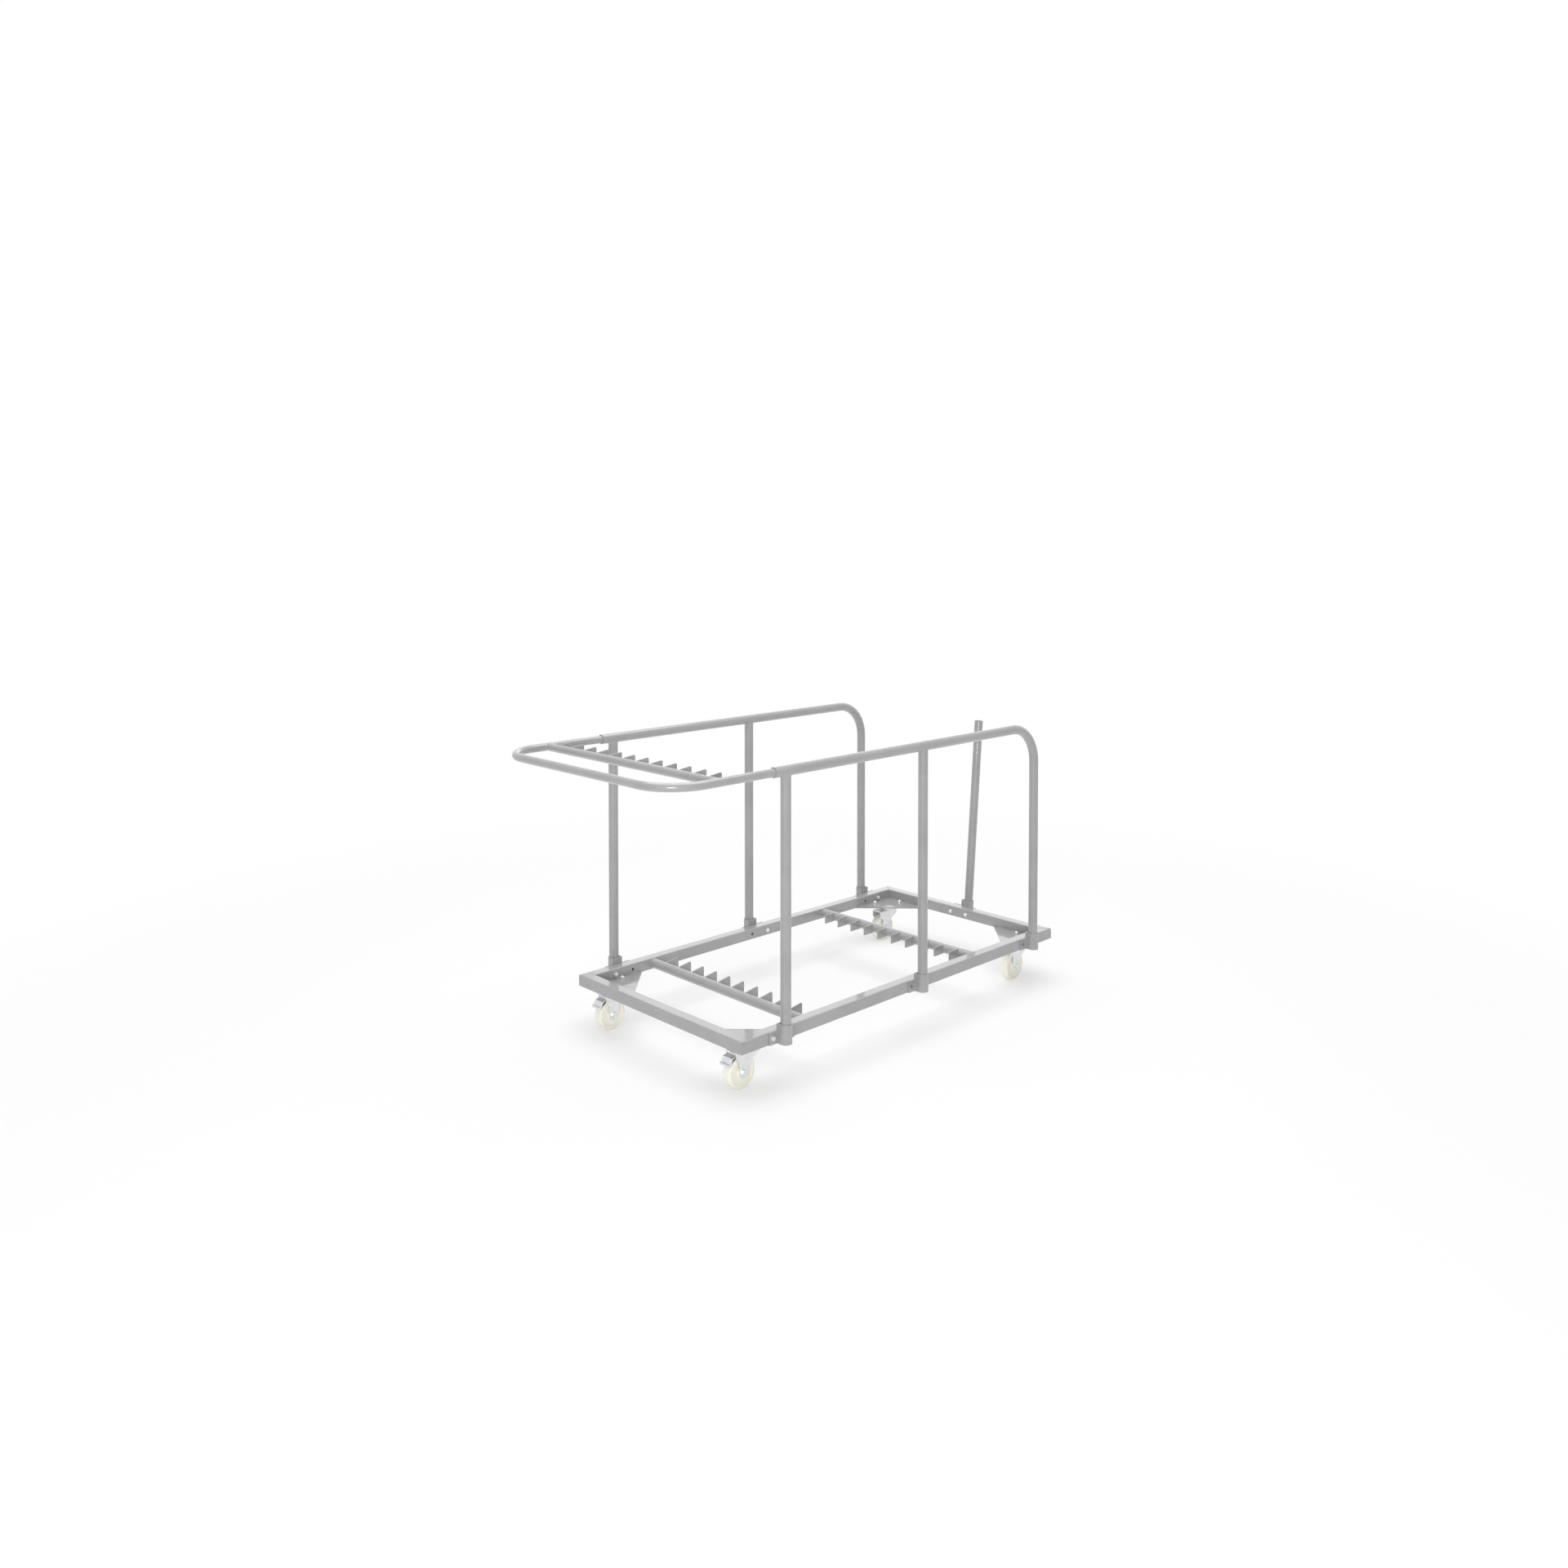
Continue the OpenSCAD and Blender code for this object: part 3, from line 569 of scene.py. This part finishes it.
def fin_seat(comb, bar):
    """Angles round a bar between which the fins of a comb touch it."""
    level, bar_r = middle(bar).z, bar_radius(bar)
    if comb in CUT_COMBS:
        bottom, crown = CUT_COMBS[comb]
        return math.asin(bottom / bar_r), crown
    low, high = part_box(comb)
    edge = math.acos(FIN_ROOT / bar_r)
    return (max(-edge, math.asin(max(-1.0, (low.z - level) / bar_r))),
            min(edge, math.asin(min(1.0, (high.z - level) / bar_r))))


def cut_fins(bm, comb, bar, corner):
    """Fins that sit on their bar's curve, with a top edge that rises from the bar to a rounded tip."""
    axis = middle(bar)
    seat_r = bar_radius(bar) + FIN_GAP
    start, stop = fin_seat(comb, bar)
    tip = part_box(comb)[1] - axis
    seat_steps, tip_steps = 12, 6
    outline = []
    for i in range(seat_steps + 1):
        turn = start + (stop - start) * i / seat_steps
        outline.append((seat_r * math.cos(turn), seat_r * math.sin(turn)))
    slope = math.atan2(tip.z - outline[-1][1], tip.x - corner - outline[-1][0])
    for i in range(tip_steps + 1):
        turn = (math.pi / 2 + slope) * (1 - i / tip_steps)
        outline.append((tip.x - corner + corner * math.cos(turn), tip.z - corner + corner * math.sin(turn)))
    outline.append((tip.x, outline[0][1]))
    outline = [(axis.x + x, axis.z + z) for x, z in outline]
    for y in fin_centres(comb):
        add_plate(bm, outline, (y - FIN_HALF, y + FIN_HALF))


def add_comb(name, comb, bar, body, sizes):
    """Comb with its fins cut to shape, in place of the plain one."""
    bm = bmesh.new()
    cut_fins(bm, comb, bar, sizes.fin_corner)
    add_bevel(new_piece(name, bm, "Grey Powder Coat", body, [comb]), sizes.tube_edge)


def comb_beads(bm, comb, bar, sign, sizes):
    """Beads on both sides of every fin, round the part of the bar that the fin touches.

    Sign is the fins' direction along X.
    """
    axis, bar_r, half = middle(bar), bar_radius(bar), sizes.comb_bead
    start, stop = fin_seat(comb, bar)
    steps = 16
    for y in fin_centres(comb):
        for side in (-1, 1):
            path = []
            for i in range(steps + 1):
                turn = start + (stop - start) * i / steps
                path.append(Vector((axis.x + sign * bar_r * math.cos(turn),
                                    y + side * (FIN_HALF + 0.3 * half), axis.z + bar_r * math.sin(turn))))
            sweep_bead(bm, path, half, sizes.ripple_pitch, sides=6)


# Fasteners

def islands(name):
    """Vertex positions of each separate solid in a frame node."""
    bm = bmesh.new()
    bm.from_mesh(frame["nodes"][name].data)
    bmesh.ops.remove_doubles(bm, verts=bm.verts, dist=1e-6)
    left, groups = set(bm.verts), []
    while left:
        stack, group = [left.pop()], []
        while stack:
            vert = stack.pop()
            group.append(vert.co.copy())
            for edge in vert.link_edges:
                other = edge.other_vert(vert)
                if other in left:
                    left.remove(other)
                    stack.append(other)
        groups.append(group)
    bm.free()
    return sorted(groups, key=lambda g: tuple(round(sum(p[k] for p in g) / len(g), 4) for k in range(3)))


def span(points, axis):
    values = [p[axis] for p in points]
    return min(values), max(values)


def extent(points, axis):
    low, high = span(points, axis)
    return high - low


def box_centre(points):
    return Vector([sum(span(points, k)) / 2 for k in range(3)])


def mean(points):
    return sum(points, Vector()) / len(points)


def hex_radius(turn, flats):
    return flats / 2 / math.cos((turn % (math.pi / 3)) - math.pi / 6)


def ring_at(bm, place, radii, heights):
    """Ring of vertices in a piece's own frame; radii and heights are one number or one for each direction."""
    radii, heights = (v if isinstance(v, list) else [v] * TURN_STEPS for v in (radii, heights))
    return [bm.verts.new(place @ Vector((r * math.cos(math.tau * i / TURN_STEPS),
                                         r * math.sin(math.tau * i / TURN_STEPS), h)))
            for i, (r, h) in enumerate(zip(radii, heights))]


def hex_rings(bm, place, flats, low, high, chamfer_low, chamfer_high):
    """Side of a hexagon from its lower to its upper face, with the corners of a chamfered face turned off."""
    corner = [hex_radius(math.tau * i / TURN_STEPS, flats) for i in range(TURN_STEPS)]
    round_r = CHAMFER_SHARE * flats
    drop = [max(0.0, r - round_r) * CHAMFER_SLOPE for r in corner]
    rings = []
    if chamfer_low:
        rings.append(ring_at(bm, place, round_r, low))
    rings.append(ring_at(bm, place, corner, [low + d if chamfer_low else low for d in drop]))
    rings.append(ring_at(bm, place, corner, [high - d if chamfer_high else high for d in drop]))
    if chamfer_high:
        rings.append(ring_at(bm, place, round_r, high))
    for a, b in zip(rings, rings[1:]):
        bridge(bm, a, b, smooth=False)
    return rings[0], rings[-1]


def add_bolt(bm, place, kind, head, length, pitch):
    """Hexagon bolt: head above the local plane z = 0, shank below it with a thread at its end."""
    size, flats = kind
    under, top = hex_rings(bm, place, flats, 0.0, head, False, True)
    dish = ring_at(bm, place, 0.40 * flats, head)
    sunk = ring_at(bm, place, 0.36 * flats, head - 0.3 * MM)
    bridge(bm, top, dish, smooth=False)
    bridge(bm, dish, sunk, smooth=False)
    bm.faces.new(sunk)
    shank, plain, thread = size / 2, length - THREAD_LENGTH, THREAD_LENGTH - TIP_CHAMFER
    neck = ring_at(bm, place, shank, 0.0)
    bridge(bm, neck, under, smooth=False)
    last = ring_at(bm, place, shank, -plain)
    bridge(bm, last, neck)
    steps = max(4, round(thread / (pitch / 4)))
    for k in range(1, steps + 1):
        z = -plain - thread * k / steps
        radii = []
        for i in range(TURN_STEPS):
            phase = (-z / pitch + i / TURN_STEPS) % 1.0
            radii.append(shank - 0.3 * pitch * (1 - abs(2 * phase - 1)) * min(1.0, k / 4))
        ring = ring_at(bm, place, radii, z)
        bridge(bm, ring, last)
        last = ring
    tip = ring_at(bm, place, shank - TIP_CHAMFER, -length)
    bridge(bm, tip, last, smooth=False)
    bm.faces.new(list(reversed(tip)))


def add_nut(bm, place, kind, height):
    """Hexagon nut from the local plane z = 0 upward, both faces chamfered, with a countersunk bore."""
    size, flats = kind
    low, high = hex_rings(bm, place, flats, 0.0, height, True, True)
    bore = size / 2 + THREAD_GAP
    rim = bore + COUNTERSINK
    inner = ((rim, 0.0), (bore, COUNTERSINK), (bore, height - COUNTERSINK), (rim, height))
    rings = [low, *(ring_at(bm, place, radius, z) for radius, z in inner), high]
    for a, b in zip(rings, rings[1:]):
        bridge(bm, b, a, smooth=False)


def axis_frame(origin, direction):
    """Matrix whose local z is the direction, at the origin."""
    return Matrix.Translation(origin) @ direction.to_track_quat("Z", "Y").to_matrix().to_4x4()


def along_axis(axis, sign):
    return Vector([sign if k == axis else 0 for k in range(3)])


def bolt_frame(points):
    """Local frame of a bolt's bearing face, its length and its head's height, from its plain solid."""
    axis = max(range(3), key=lambda k: extent(points, k))
    low, high = span(points, axis)
    centre = box_centre(points)
    others = [k for k in range(3) if k != axis]

    def girth(level):
        return max(math.hypot(*(p[k] - centre[k] for k in others))
                   for p in points if abs(p[axis] - level) < 1e-5)

    sign = 1 if girth(high) > girth(low) else -1
    levels = sorted({round(p[axis], 5) for p in points}, reverse=sign > 0)
    bearing = levels[1]
    centre[axis] = bearing
    return axis_frame(centre, along_axis(axis, sign)), abs(bearing - levels[-1]), abs(levels[0] - bearing)


def nut_frame(points, toward):
    """Local frame of a nut whose bearing face looks towards a point, and its height."""
    axis = min(range(3), key=lambda k: extent(points, k))
    centre = box_centre(points)
    low, high = span(points, axis)
    sign = 1 if toward[axis] < centre[axis] else -1
    centre[axis] = low if sign > 0 else high
    return axis_frame(centre, along_axis(axis, sign)), high - low


# Operators

class TROLLEY_OT_finishes(Operator):
    """Makes the finishes that the trolley's pieces share."""

    bl_idname = "trolley.finishes"
    bl_label = "Finishes"

    def execute(self, context):
        finish = context.scene.trolley_finish
        for make in (make_orange_peel, make_mottle, make_scuffs, make_dust):
            make()
        for make in (make_paint, make_zinc, make_nylon, make_rubber):
            make(finish)
        return {"FINISHED"}


class TROLLEY_OT_base(Operator):
    """Paints the rails, gussets, cross bars, rear comb and sockets, and cuts the front comb to shape."""

    bl_idname = "trolley.base"
    bl_label = "Base"

    def execute(self, context):
        sizes = context.scene.trolley_sizes
        names = RAILS + GUSSETS + ["bar_front", "bar_rear", "fins_rear"]
        dress_nodes(names, "Grey Powder Coat", sizes.tube_edge)
        dress_nodes(SOCKETS, "Grey Powder Coat", sizes.socket_edge)
        add_comb("fins_front_cut", "fins_front", "bar_front", "base", sizes)
        return {"FINISHED"}


class TROLLEY_OT_guards(Operator):
    """Paints the guard tubes, posts, handle and end post, and cuts the handle's comb to shape."""

    bl_idname = "trolley.guards"
    bl_label = "Guards, handle and end post"

    def execute(self, context):
        sizes = context.scene.trolley_sizes
        names = POSTS + ["guard_right", "guard_left", "handle", "crossbar", "end_post"]
        dress_nodes(names, "Grey Powder Coat", sizes.tube_edge)
        add_comb("fins_top_cut", "fins_top", "crossbar", "handle_frame", sizes)
        return {"FINISHED"}


class TROLLEY_OT_base_welds(Operator):
    """Lays the weld beads of the base: bars to rails, combs to bars, gussets, sockets and mitres."""

    bl_idname = "trolley.base_welds"
    bl_label = "Base welds"

    def execute(self, context):
        sizes = context.scene.trolley_sizes
        for name, lay in (("weld_bars", self.bar_rings), ("weld_combs", self.comb_rows),
                          ("weld_gussets", self.gusset_stitches), ("weld_sockets", self.socket_beads),
                          ("weld_mitres", self.mitre_seams)):
            bm = bmesh.new()
            lay(bm, sizes)
            new_piece(name, bm, "Grey Powder Coat", "base")
        return {"FINISHED"}

    @staticmethod
    def bar_rings(bm, sizes):
        """Beads round both ends of each cross bar."""
        steps = 72
        for bar in ("bar_front", "bar_rear"):
            low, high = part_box(bar)
            centre, radius = middle(bar), bar_radius(bar)
            for y in (low.y, high.y):
                ring = [Vector((centre.x + radius * math.cos(math.tau * i / steps), y,
                                centre.z + radius * math.sin(math.tau * i / steps))) for i in range(steps)]
                sweep_bead(bm, ring, sizes.bead, sizes.ripple_pitch, closed=True)

    @staticmethod
    def comb_rows(bm, sizes):
        """Beads of the front comb, which reaches to +X, and of the rear one, which reaches to -X."""
        comb_beads(bm, "fins_front", "bar_front", 1, sizes)
        comb_beads(bm, "fins_rear", "bar_rear", -1, sizes)

    @staticmethod
    def gusset_stitches(bm, sizes):
        """Three short beads along each leg of a gusset, in the corner between it and the rail."""
        stitch = 0.16
        for name in GUSSETS:
            low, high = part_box(name)
            x, sx = (low.x, 1) if low.x + high.x < 0 else (high.x, -1)
            y, sy = (low.y, 1) if low.y + high.y < 0 else (high.y, -1)
            leg = high.x - low.x
            for start in (0.10, 0.42, 0.74):
                a, b = start * leg, (start + stitch) * leg
                for path in ([Vector((x + sx * a, y, high.z)), Vector((x + sx * b, y, high.z))],
                             [Vector((x, y + sy * a, high.z)), Vector((x, y + sy * b, high.z))]):
                    sweep_bead(bm, path, 0.9 * sizes.bead, sizes.ripple_pitch)

    @staticmethod
    def socket_beads(bm, sizes):
        """Upright beads in the two corners between a socket's flange and its sleeve."""
        rail_low, rail_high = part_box("rail_right")
        bottom, top = rail_low.z + 2 * MM, rail_high.z - 1 * MM
        for name in SOCKETS:
            low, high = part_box(name)
            for side in (-1, 1):
                if name == "socket_end":
                    x, y = low.x + SOCKET_WALL, side * SLEEVE_HALF
                else:
                    x = (low.x + high.x) / 2 + side * SLEEVE_HALF
                    y = high.y - SOCKET_WALL if high.y < 0 else low.y + SOCKET_WALL
                sweep_bead(bm, [Vector((x, y, bottom)), Vector((x, y, top))],
                           sizes.bead, sizes.ripple_pitch, ripple=0.24)

    @staticmethod
    def mitre_seams(bm, sizes):
        """Ground seams over the mitres, on the top and the underside, and up the inner and outer corners."""
        low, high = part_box("rail_right")
        left_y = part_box("rail_left")[1].y
        front_low, front_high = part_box("rail_front")
        rail = front_high.x - front_low.x
        inset = 4 * MM
        half, wide = 0.45 * sizes.bead, 0.9 * sizes.bead
        # Ends of each seam as distance from the outer corner and height, then half width and ripple
        levels = (high.z - 0.5 * wide, low.z + 0.5 * wide)
        seams = [((inset, z), (rail - inset, z), wide, 0.10) for z in levels]
        seams.append(((0.7 * wide, low.z + inset), (0.7 * wide, high.z - 0.6 * inset), wide, 0.08))
        seams.append(((rail, low.z + 2 * inset), (rail, high.z - inset), half, 0.10))
        for x, sx in ((low.x, 1), (high.x, -1)):
            for y, sy in ((low.y, 1), (left_y, -1)):
                for *ends, radius, ripple in seams:
                    path = [Vector((x + sx * reach, y + sy * reach, z)) for reach, z in ends]
                    sweep_bead(bm, path, radius, sizes.ripple_pitch, ripple=ripple)


class TROLLEY_OT_guard_welds(Operator):
    """Lays the welds of the guards and the handle: posts to tubes, crossbar to handle, comb to crossbar."""

    bl_idname = "trolley.guard_welds"
    bl_label = "Guard and handle welds"

    def execute(self, context):
        sizes = context.scene.trolley_sizes
        along, across, up = Vector((1, 0, 0)), Vector((0, 1, 0)), Vector((0, 0, 1))
        bm = bmesh.new()
        for name in POSTS:
            low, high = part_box(name)
            guard_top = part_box("guard_" + name.rsplit("_", 1)[1])[1].z
            radius = (high.x - low.x) / 2
            centre = Vector(((low.x + high.x) / 2, (low.y + high.y) / 2, guard_top - radius))
            cope_fillet(bm, centre, -up, along, radius, radius, sizes.cope_leg, sizes.ripple_pitch)
        new_piece("weld_posts", bm, "Grey Powder Coat", "base")
        bm = bmesh.new()
        low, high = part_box("handle")
        radius, arm_r = bar_radius("crossbar"), bar_radius("handle")
        for arm_y, away in ((low.y + arm_r, across), (high.y - arm_r, -across)):
            centre = middle("crossbar")
            centre.y = arm_y
            cope_fillet(bm, centre, away, along, radius, arm_r, 0.8 * sizes.cope_leg, sizes.ripple_pitch)
        comb_beads(bm, "fins_top", "crossbar", 1, sizes)
        new_piece("weld_handle", bm, "Grey Powder Coat", "handle_frame")
        return {"FINISHED"}


class TROLLEY_OT_fasteners(Operator):
    """Makes the socket and caster bolts and nuts with chamfers and threads."""

    bl_idname = "trolley.fasteners"
    bl_label = "Bolts and nuts"

    def execute(self, context):
        pitch = context.scene.trolley_sizes.thread_pitch
        for kind in ("socket", "caster"):
            bolts = islands(kind + "_bolts")
            bm = bmesh.new()
            for points in bolts:
                place, length, head = bolt_frame(points)
                add_bolt(bm, place, M8, head, length, pitch)
            new_piece(kind + "_bolts_turned", bm, "Bright Zinc Plate", "base", [kind + "_bolts"])
            bm = bmesh.new()
            for points in islands(kind + "_nuts"):
                centre = mean(points)
                nearest = min((mean(bolt) for bolt in bolts), key=lambda other: (other - centre).length)
                place, height = nut_frame(points, nearest)
                add_nut(bm, place, M8, height)
            new_piece(kind + "_nuts_turned", bm, "Bright Zinc Plate", "base", [kind + "_nuts"])
        return {"FINISHED"}


class TROLLEY_OT_casters(Operator):
    """Plates the casters' sheet and kingpins with zinc, rounds their edges and turns their axles."""

    bl_idname = "trolley.casters"
    bl_label = "Casters"

    def execute(self, context):
        sizes = context.scene.trolley_sizes
        names = [f"{piece}_{corner}" for piece in ("plate", "kingpin", "fork") for corner in CORNERS]
        dress_nodes(names, "Bright Zinc Plate", sizes.sheet_edge)
        for corner in CORNERS:
            bm = bmesh.new()
            self.axle(bm, corner, 1.2 * sizes.thread_pitch)
            new_piece("axle_turned_" + corner, bm, "Bright Zinc Plate", "swivel_" + corner,
                      ["axle_" + corner])
        return {"FINISHED"}

    @staticmethod
    def axle(bm, corner, pitch):
        """Axle bolt through both legs of a fork, the nut at its end and the spacer tube round it."""
        nut, spacer, bolt = sorted(islands("axle_" + corner), key=lambda points: extent(points, 1))
        place, length, head = bolt_frame(bolt)
        add_bolt(bm, place, M10, head, length, pitch)
        place, height = nut_frame(nut, mean(bolt))
        add_nut(bm, place, M10, height)
        foot, width = box_centre(spacer), extent(spacer, 1)
        foot.y = span(spacer, 1)[0]
        tube = axis_frame(foot, along_axis(1, 1))
        outer, bore = extent(spacer, 0) / 2, M10[0] / 2 + THREAD_GAP
        rings = [ring_at(bm, tube, radius, z)
                 for radius, z in ((outer, 0.0), (outer, width), (bore, width), (bore, 0.0))]
        for a, b in zip(rings, rings[1:] + rings[:1]):
            bridge(bm, a, b, smooth=False)


class TROLLEY_OT_wheels(Operator):
    """Gives the wheels their nylon."""

    bl_idname = "trolley.wheels"
    bl_label = "Wheels"

    def execute(self, context):
        sizes = context.scene.trolley_sizes
        dress_nodes([f"wheel_{corner}" for corner in CORNERS], "Cream Nylon", sizes.tube_edge)
        return {"FINISHED"}


class TROLLEY_OT_brakes(Operator):
    """Plates the brake pedals and pins, raises the ribs on the pedals and cuts the teeth of the pads."""

    bl_idname = "trolley.brakes"
    bl_label = "Brakes"

    def execute(self, context):
        sizes = context.scene.trolley_sizes
        dress_nodes([f"{piece}_{side}" for piece in ("pedal", "brake_pin") for side in SIDES],
                    "Bright Zinc Plate", sizes.sheet_edge)
        for side in SIDES:
            bm = bmesh.new()
            self.pedal_ribs(bm, side, sizes)
            new_piece("pedal_ribs_" + side, bm, "Bright Zinc Plate", "brake_" + side)
            bm = bmesh.new()
            self.toothed_pad(bm, side)
            pad = new_piece("pad_toothed_" + side, bm, "Black Rubber", "brake_" + side,
                            ["pad_" + side])
            add_bevel(pad, PAD_EDGE)
        return {"FINISHED"}

    @staticmethod
    def pedal_ribs(bm, side, sizes):
        """Ribs across the steep tread, between its bend and its toe."""
        low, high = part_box("pedal_" + side)
        pivot = joint_place("brake_press_" + side)
        bend = Vector((pivot.x + PEDAL_BEND[0], 0, pivot.z + PEDAL_BEND[1]))
        toe = Vector((low.x + PEDAL_TOE[0], 0, low.z + PEDAL_TOE[1]))
        slope = (toe - bend).normalized()
        outward = Vector((slope.z, 0, -slope.x))
        if outward.x > 0:
            outward.negate()
        for k in range(sizes.pedal_ribs):
            point = bend.lerp(toe, 0.2 + 0.5 * k / max(1, sizes.pedal_ribs - 1)) + outward * RIB_LIFT
            ends = [Vector((point.x, y, point.z)) for y in (low.y + RIB_INSET, high.y - RIB_INSET)]
            sweep_bead(bm, ends, RIB_HALF, 5 * RIB_HALF, ripple=0.0)

    @staticmethod
    def toothed_pad(bm, side):
        """Pad between the pedal's arm and the tread, its hollow face cut into teeth."""
        low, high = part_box("pad_" + side)
        corners = frame["nodes"]["pad_" + side].data.vertices
        pivot = joint_place("brake_press_" + side)
        axle = joint_place("wheel_spin_front_" + side)
        travel = math.radians(joint("brake_press_" + side)["range_deg"][1])
        tread_low, tread_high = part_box("wheel_front_" + side)
        radius = (tread_high.z - tread_low.z) / 2 + PAD_GAP
        arm = axle - pivot
        hub = Vector((pivot.x + arm.x * math.cos(travel) + arm.z * math.sin(travel), 0,
                      pivot.z - arm.x * math.sin(travel) + arm.z * math.cos(travel)))
        ends = (high.x, low.x)
        start, stop = (math.atan2(math.sqrt(radius ** 2 - (x - hub.x) ** 2), x - hub.x) for x in ends)
        outline = [(x, max(v.co.z for v in corners if abs(v.co.x - x) < 1e-5)) for x in ends]
        for k in range(2 * PAD_TEETH, -1, -1):
            turn = start + (stop - start) * k / (2 * PAD_TEETH)
            reach = radius + (PAD_TOOTH if k % 2 else 0.0)
            outline.append((hub.x + reach * math.cos(turn), hub.z + reach * math.sin(turn)))
        add_plate(bm, outline, (low.y, high.y))


class TROLLEY_OT_studio(Operator):
    """Builds the pale floor, the white room, the lamps and the camera."""

    bl_idname = "trolley.studio"
    bl_label = "Studio"

    def execute(self, context):
        studio = context.scene.trolley_studio
        self.make_floor(studio)
        self.make_room(context.scene, studio)
        for name, (place, size) in LAMPS.items():
            self.make_lamp(name, place, size, getattr(studio, name.lower()))
        camera = bpy.data.objects.new("Camera", bpy.data.cameras.new("Camera"))
        context.scene.collection.objects.link(camera)
        camera.data.lens = studio.lens
        camera.data.sensor_width = SENSOR
        camera.data.shift_x, camera.data.shift_y = SHIFT
        camera.location = studio.eye
        level = math.cos(studio.tilt)
        ahead = Vector((math.cos(studio.heading) * level, math.sin(studio.heading) * level,
                        -math.sin(studio.tilt)))
        camera.rotation_euler = ahead.to_track_quat("-Z", "Y").to_euler()
        context.scene.camera = camera
        context.scene.view_settings.view_transform = "Standard"
        return {"FINISHED"}

    @staticmethod
    def seen(tree):
        """1 for rays from the camera, also mirrored or bent on their way, and 0 for light on the object."""
        path = tree.nodes.new("ShaderNodeLightPath").outputs
        some = maths(tree, "MAXIMUM", path["Is Camera Ray"], path["Is Glossy Ray"])
        return maths(tree, "MAXIMUM", some, path["Is Transmission Ray"])

    def make_floor(self, studio):
        tree, shader = new_material("Studio Floor")
        shader.inputs["Base Color"].default_value = studio.floor
        shader.inputs["Roughness"].default_value = 0.9
        shader.inputs["Specular IOR Level"].default_value = 0.1
        white = add_node(tree, "ShaderNodeEmission", {"Color": (1, 1, 1, 1), "Strength": 1.0})
        place = own_place(tree)
        reach = add_node(tree, "ShaderNodeVectorMath", {0: place}, operation="LENGTH").outputs["Value"]
        veil = add_node(tree, "ShaderNodeMapRange", {
            "Value": reach, "From Min": VEIL_START, "From Max": VEIL_END,
            "To Min": studio.floor_veil, "To Max": 1.0}, interpolation_type="SMOOTHSTEP").outputs["Result"]
        share = times(tree, self.seen(tree), veil)
        both = add_node(tree, "ShaderNodeMixShader", {0: share, 1: shader.outputs[0], 2: white.outputs[0]})
        tree.links.new(both.outputs[0], tree.nodes["Material Output"].inputs["Surface"])
        bm = bmesh.new()
        bmesh.ops.create_circle(bm, cap_ends=True, segments=96, radius=FLOOR_RADIUS)
        mesh = bpy.data.meshes.new("floor")
        bm.to_mesh(mesh)
        bm.free()
        mesh.materials.append(bpy.data.materials["Studio Floor"])
        floor = bpy.data.objects.new("floor", mesh)
        bpy.context.scene.collection.objects.link(floor)

    def make_room(self, scene, studio):
        room = bpy.data.worlds.new("Room")
        room.use_nodes = True
        scene.world = room
        tree = room.node_tree
        strength = spread(tree, self.seen(tree), studio.sky, 1.0)
        background = tree.nodes["Background"]
        background.inputs["Color"].default_value = (1, 1, 1, 1)
        tree.links.new(strength, background.inputs["Strength"])

    @staticmethod
    def make_lamp(name, place, size, power):
        data = bpy.data.lights.new(name, "AREA")
        data.shape = "DISK"
        data.size = size
        data.energy = power
        lamp = bpy.data.objects.new(name, data)
        lamp.location = place
        lamp.rotation_euler = (Vector(LAMP_AIM) - Vector(place)).to_track_quat("-Z", "Y").to_euler()
        bpy.context.scene.collection.objects.link(lamp)


GROUPS = {"trolley_finish": TrolleyFinish, "trolley_sizes": TrolleySizes, "trolley_studio": TrolleyStudio}
OPERATORS = (
    TROLLEY_OT_finishes, TROLLEY_OT_base, TROLLEY_OT_guards, TROLLEY_OT_base_welds, TROLLEY_OT_guard_welds,
    TROLLEY_OT_fasteners, TROLLEY_OT_casters, TROLLEY_OT_wheels, TROLLEY_OT_brakes, TROLLEY_OT_studio,
)


class TROLLEY_PT_panel(Panel):
    """Lists the trolley's settings and the steps that dress it."""

    bl_idname = "TROLLEY_PT_panel"
    bl_label = "Banquet Table Trolley"
    bl_space_type = "VIEW_3D"
    bl_region_type = "UI"
    bl_category = "Trolley"

    def draw(self, context):
        for label in GROUPS:
            group = getattr(context.scene, label)
            column = self.layout.column(align=True)
            for name in group.__annotations__:
                column.prop(group, name)
        for step in OPERATORS:
            self.layout.operator(step.bl_idname)


def register():
    for cls in (*GROUPS.values(), *OPERATORS, TROLLEY_PT_panel):
        bpy.utils.register_class(cls)
    for name, group in GROUPS.items():
        setattr(bpy.types.Scene, name, PointerProperty(type=group))


def unregister():
    for name in GROUPS:
        delattr(bpy.types.Scene, name)
    for cls in reversed((*GROUPS.values(), *OPERATORS, TROLLEY_PT_panel)):
        bpy.utils.unregister_class(cls)


def main():
    register()
    for step in OPERATORS:
        group, name = step.bl_idname.split(".")
        getattr(getattr(bpy.ops, group), name)()


if __name__ == "__main__":
    main()
